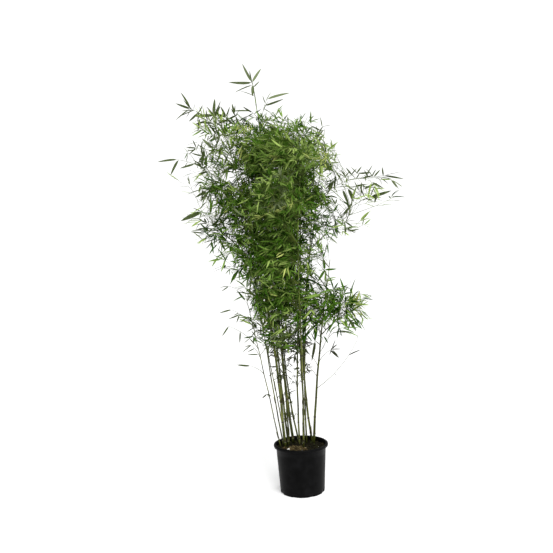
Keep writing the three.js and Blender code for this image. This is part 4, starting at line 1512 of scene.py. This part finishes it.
# %% Low shoots
SHOOTS_FROM = {
    "culm_03": 0.54, "culm_04": 0.3, "culm_05": 0.3, "culm_06": 0.3,
    "culm_07": 0.54, "culm_08": 0.6, "culm_09": 0.66, "culm_10": 0.62,
    "culm_12": 0.6, "culm_14": 0.32,
}
SHOOT_TOP = 1.0
SHOOT_SHARE = 0.85
SHOOTS_AT_JOINT = 5
SHOOT_REACHES = (0.012, 0.06)
SHOOT_RISES = (0.03, 0.1)
SHOOT_LEAVES = (0.03, 0.065)
SHOOT_LEAF_TURN = 0.8
SHOOT_LEAF_RISES = (-1.0, 0.8)
GROWTH_BY_HEIGHT = ([0.5, 0.7], [0.5, 1.0])

shoot_lines = []
for name, lowest in SHOOTS_FROM.items():
    for place in np.repeat(culms[name]["joint_places"], SHOOTS_AT_JOINT, axis=0):
        if not lowest < place[2] < SHOOT_TOP or lone_rng.random() > SHOOT_SHARE:
            continue
        growth = np.interp(place[2], *GROWTH_BY_HEIGHT)
        heading = lone_rng.uniform(0, 2 * math.pi)
        reach = growth * lone_rng.uniform(*SHOOT_REACHES)
        rise = growth * lone_rng.uniform(*SHOOT_RISES)
        tip = place + [reach * math.cos(heading), reach * math.sin(heading), rise]
        first = place + (tip - place) * [0.3, 0.3, 0.35]
        second = place + (tip - place) * [0.6, 0.6, 0.8]
        shoot = curved(place[None], first[None], second[None], tip[None], LONE_STEPS)[0]
        for leaf in range(lone_rng.integers(1, 4)):
            turn = heading + lone_rng.normal(0, SHOOT_LEAF_TURN)
            lone_base.append(shoot[-1 - leaf])
            lone_direction.append((math.cos(turn), math.sin(turn), lone_rng.uniform(*SHOOT_LEAF_RISES)))
            lone_length.append(growth * lone_rng.uniform(*SHOOT_LEAVES))
            lone_face.append(lone_rng.uniform(*USUAL_FACE))
            lone_spray.append(len(lone_lines) + len(shoot_lines))
        shoot_lines.append(shoot)
print(len(shoot_lines), "low shoots")

# %% Twigs of the lone sprays and shoots
LONE_TWIG_SIDES = 5
LONE_TWIG_RADII = (0.0018, 0.0008)

lone_lines = np.concatenate([lone_lines, shoot_lines])
lone_base, lone_length, lone_spray = np.array(lone_base), np.array(lone_length), np.array(lone_spray)
lone_direction, lone_face = unit(np.array(lone_direction)), np.array(lone_face)
lone_radii = np.tile(np.linspace(*LONE_TWIG_RADII, LONE_STEPS), (len(lone_lines), 1))
points, quads = tubes(lone_lines, lone_radii, LONE_TWIG_SIDES)
add_piece("lone_twigs", points, [quads], [TWIG])
print(len(lone_lines), "lone twigs with", len(lone_base), "leaves")

# %% [markdown]
# ## Which green each spray gets
#
# Leaves deep in the crown are darker, partly because they are older and partly as
# painted shade of the crown's inside. Those at the tips of branches are young and
# yellow-green, and those near the top are lighter, partly as young growth and partly
# as painted sunlight. Each spray takes one tint: how far out it grows, how high, and
# a seeded draw decide which. Tone patches are round places where the leaves are
# lighter or darker than their neighbours. Part of the outer sprays are a greyer
# green, as are the loose ones on the lower left. The sprays at the very top are
# bleached by the sun, and the lowest of all are old and brown-green.

# %% Patches of tone
TONE_PATCHES = [
    (0.03, 1.87, 0.09, 0.4), (-0.07, 1.82, 0.05, 0.8), (-0.23, 1.9, 0.06, 0.3), (-0.37, 1.84, 0.07, -1.0),
    (-0.32, 1.7, 0.06, -0.8), (-0.05, 1.7, 0.05, -0.7), (0.01, 1.56, 0.07, 1.0), (-0.12, 1.51, 0.06, 1.0),
    (-0.35, 1.53, 0.04, 1.0), (-0.38, 1.45, 0.06, -1.2), (0.06, 1.43, 0.05, -1.2), (-0.01, 1.29, 0.05, 0.8),
    (-0.26, 1.32, 0.04, 0.8), (-0.14, 1.32, 0.04, -0.7), (-0.09, 1.16, 0.05, 1.0), (-0.3, 1.2, 0.05, -1.0),
    (0.05, 1.15, 0.05, -0.8), (0.17, 1.11, 0.06, -0.8), (0.09, 1.03, 0.05, 1.0), (0.25, 1.03, 0.06, -0.6),
    (-0.15, 1.07, 0.05, 0.9), (-0.11, 0.9, 0.07, 1.5), (0.17, 1.79, 0.045, 2.0), (0.3, 0.985, 0.04, 1.9),
    (-0.27, 1.98, 0.05, 1.5), (-0.29, 1.82, 0.05, 1.5),
]
print(len(TONE_PATCHES), "patches")

# %% How old each spray looks, with painted shade inside and painted light at the top
TINT = {name: number for number, name in enumerate(LEAF_TINTS)}
MIDDLE_TINT = 3.0
TINT_SPREAD = 1.4
YOUNGER_AT_TIPS = 1.2
USUAL_PLACE = 0.75
USUAL_DISTANCE = 0.2
OUTWARDS_BY_HEIGHT = ([1.1, 1.4], [0.8, 3.0])
AGE_AND_SHADING_BY_HEIGHT = ([1.0, 1.2, 1.65, 1.85], [-0.4, 0.0, 0.0, 0.9])
LONE_TINT = 2.6
LONE_TINT_SPREAD = 0.7
LONE_AGE_BY_HEIGHT = ([0.7, 1.1, 1.3], [-2.0, -1.0, 0.2])
SLICE_HEIGHTS = np.arange(0.3, 2.5, 0.1)
SLICE_REACH = 0.25


def from_middle_line(points):
    """How far points lie from the middle line of the foliage, which leans with the stems."""
    near = np.abs(points[:, 2, None] - SLICE_HEIGHTS) < SLICE_REACH
    middle = (points.T @ near) / np.maximum(near.sum(axis=0), 1)
    x, y = (np.interp(points[:, 2], SLICE_HEIGHTS, middle[axis]) for axis in range(2))
    return np.hypot(points[:, 0] - x, points[:, 1] - y)


def nearest_tint(ages):
    """The tint whose number is closest to each age."""
    return np.clip(np.round(ages), 0, TINT["yellow"]).astype(int)


twig_distance = from_middle_line(twig_starts)
spray_age_and_shading = grow_rng.normal(0, TINT_SPREAD, len(twig_lines)) + YOUNGER_AT_TIPS * (twig_places - USUAL_PLACE)
outwards = np.interp(twig_starts[:, 2], *OUTWARDS_BY_HEIGHT)
# Sprays close to the middle line of the foliage turn darker, partly as older leaves and partly as painted
# shade of the crown's inside.
spray_age_and_shading = MIDDLE_TINT + spray_age_and_shading + outwards * (twig_distance - USUAL_DISTANCE)
# Below 1.2 m the sprays darken a little, and near the top they turn lighter, partly as young growth and
# partly as painted sunlight.
spray_age_and_shading = spray_age_and_shading + np.interp(twig_starts[:, 2], *AGE_AND_SHADING_BY_HEIGHT)
spray_age_and_shading = np.minimum(spray_age_and_shading, TINT["lime"])
# Each tone patch makes the sprays round it lighter or darker than their neighbours.
for x, z, reach, shift in TONE_PATCHES:
    away = np.hypot(twig_starts[:, 0] - x, twig_starts[:, 2] - z)
    spray_age_and_shading = spray_age_and_shading + shift * np.exp(-(away / reach) ** 2)
lone_tips = lone_lines[:, -1]
lone_age = LONE_TINT + lone_rng.normal(0, LONE_TINT_SPREAD, len(lone_lines))
lone_age = lone_age + np.interp(lone_tips[:, 2], *LONE_AGE_BY_HEIGHT)
spray_tint = nearest_tint(spray_age_and_shading)
lone_tint = nearest_tint(lone_age)
print("mean tint", round(spray_tint.mean(), 2), "lone", round(lone_tint.mean(), 2))

# %% Greyed, bleached and faded sprays
OUTER_DULL = ([0.24, 0.38], [0.0, 0.75])
HEM_DULL = ([0.85, 1.05], [0.5, 0.0])
LONE_DULL_SHARE = 0.92
DULL_ABOVE = 1.2
SUN_BLEACHED_ABOVE = 2.14
OLD_BELOW = 0.84
FADED_ABOVE = 0.66
FADED_LEFT_OF = -0.24


def dulled(tints, chance, rng):
    """The tints with part of the sprays turned to a greyer green, dark or pale."""
    can_turn = (tints >= TINT["green"]) & (tints <= TINT["fresh"])
    turned_dull = (rng.random(len(tints)) < chance) & can_turn
    grey = np.where(tints < TINT["fresh"], TINT["dull"], TINT["silver"])
    return np.where(turned_dull, grey, tints)


outer_share = np.interp(twig_distance, *OUTER_DULL) * (twig_starts[:, 2] > DULL_ABOVE)
hem_share = np.interp(twig_starts[:, 2], *HEM_DULL)
spray_tint = dulled(spray_tint, np.maximum(outer_share, hem_share), grow_rng)
lone_tint = dulled(lone_tint, LONE_DULL_SHARE * (lone_tips[:, 2] > DULL_ABOVE), lone_rng)
lone_tint[lone_tips[:, 2] > SUN_BLEACHED_ABOVE] = TINT["silver"]
lone_tint[lone_tips[:, 2] < OLD_BELOW] = TINT["old"]
low_left = (lone_tips[:, 0] < FADED_LEFT_OF) & (lone_tips[:, 2] > FADED_ABOVE)
low_left = low_left & (lone_tips[:, 2] < DULL_ABOVE)
lone_tint[low_left] = TINT["dull"]
leaf_tint = np.concatenate([spray_tint[leaf_spray], lone_tint[lone_spray]])
print({tint: int((leaf_tint == number).sum()) for tint, number in TINT.items()})

# %% Each leaf's turn and form
FACES_FRONT = np.array([0.0, -1.0, 0.35])
ROLL_SPREAD = 0.55
LEAF_BREADTHS = (0.11, 0.155)
LEAF_DROOPS = (0.02, 0.24)
LEAF_FOLDS = (0.1, 0.5)
LONE_BREADTH = 1.2
LONE_DROOP = 0.4

leaf_roll = unit(UP + grow_rng.normal(0, ROLL_SPREAD, (len(leaf_base), 3)))
lone_flat = unit(np.cross(np.cross(lone_direction, FACES_FRONT), lone_direction))
lone_edge = np.cross(lone_direction, lone_flat) * lone_rng.choice([-1, 1], (len(lone_base), 1))
squareness = np.minimum(lone_face, 1)[:, None]
lone_roll = lone_flat * squareness + lone_edge * np.sqrt(1 - squareness ** 2)
base = np.concatenate([leaf_base, lone_base])
direction = np.concatenate([leaf_direction, lone_direction])
roll = np.concatenate([leaf_roll, lone_roll])
length = np.concatenate([leaf_length, lone_length])
width = length * grow_rng.uniform(*LEAF_BREADTHS, len(length))
width[len(leaf_base):] *= LONE_BREADTH * np.maximum(lone_face, 1)
droop = grow_rng.uniform(*LEAF_DROOPS, len(length))
droop[len(leaf_base):len(leaf_base) + hand_set] *= LONE_DROOP
fold = grow_rng.uniform(*LEAF_FOLDS, len(length))
print(len(length), "leaves, mean length", round(length.mean(), 3))

# %% Leaf pieces
for tint, number in TINT.items():
    chosen = leaf_tint == number
    points, quads, ends = leaf_mesh(
        base[chosen], direction[chosen], roll[chosen], length[chosen],
        width[chosen], droop[chosen], fold[chosen],
    )
    add_piece("leaves_" + tint, points, [quads, ends], [LEAF_FINISHES[tint]], MASS_NODES)
    print("leaves", tint, int(chosen.sum()), "triangles", 2 * len(quads) + len(ends))

# %% [markdown]
# ## Fallen leaves
#
# Dropped leaves dry to a pale straw and gather on the compost, most of them on the
# bank at the front. They are the same blades as above, laid nearly flat, so that the
# litter and the crown plainly belong to one plant.

# %% Fallen leaves
FALLEN_COUNT = 46
FALLEN_REACH = 0.062
FALLEN_BED = np.array([-0.035, -0.05, 0.003])
FALLEN_TILT = 0.12
FALLEN_LENGTHS = (0.03, 0.062)

fallen_middle = scatter(litter_rng, FALLEN_COUNT, FALLEN_REACH)
fallen_middle[:, 2] = ground(*(fallen_middle + FALLEN_BED).T[:2])
fallen_middle = fallen_middle + FALLEN_BED
fallen_along, _, fallen_up = random_turns(litter_rng, FALLEN_COUNT, FALLEN_TILT)
fallen_length = litter_rng.uniform(*FALLEN_LENGTHS, FALLEN_COUNT)
points, quads, ends = leaf_mesh(
    fallen_middle - fallen_along * fallen_length[:, None] / 2, fallen_along, fallen_up, fallen_length,
    fallen_length * litter_rng.uniform(0.1, 0.15, FALLEN_COUNT),
    litter_rng.uniform(-0.1, 0.12, FALLEN_COUNT), litter_rng.uniform(0.1, 0.6, FALLEN_COUNT),
)
add_piece("fallen_leaves", points, [quads, ends], [FALLEN])
print(FALLEN_COUNT, "fallen leaves")

# %% [markdown]
# ## The frame's box
#
# The corners of the frame's box are printed, in metres. The looks may stand only a
# little proud of the frame's box.

# %% Box of the frame
print("cad", [[round(c, 3) for c in corner] for corner in CAD_BOX])
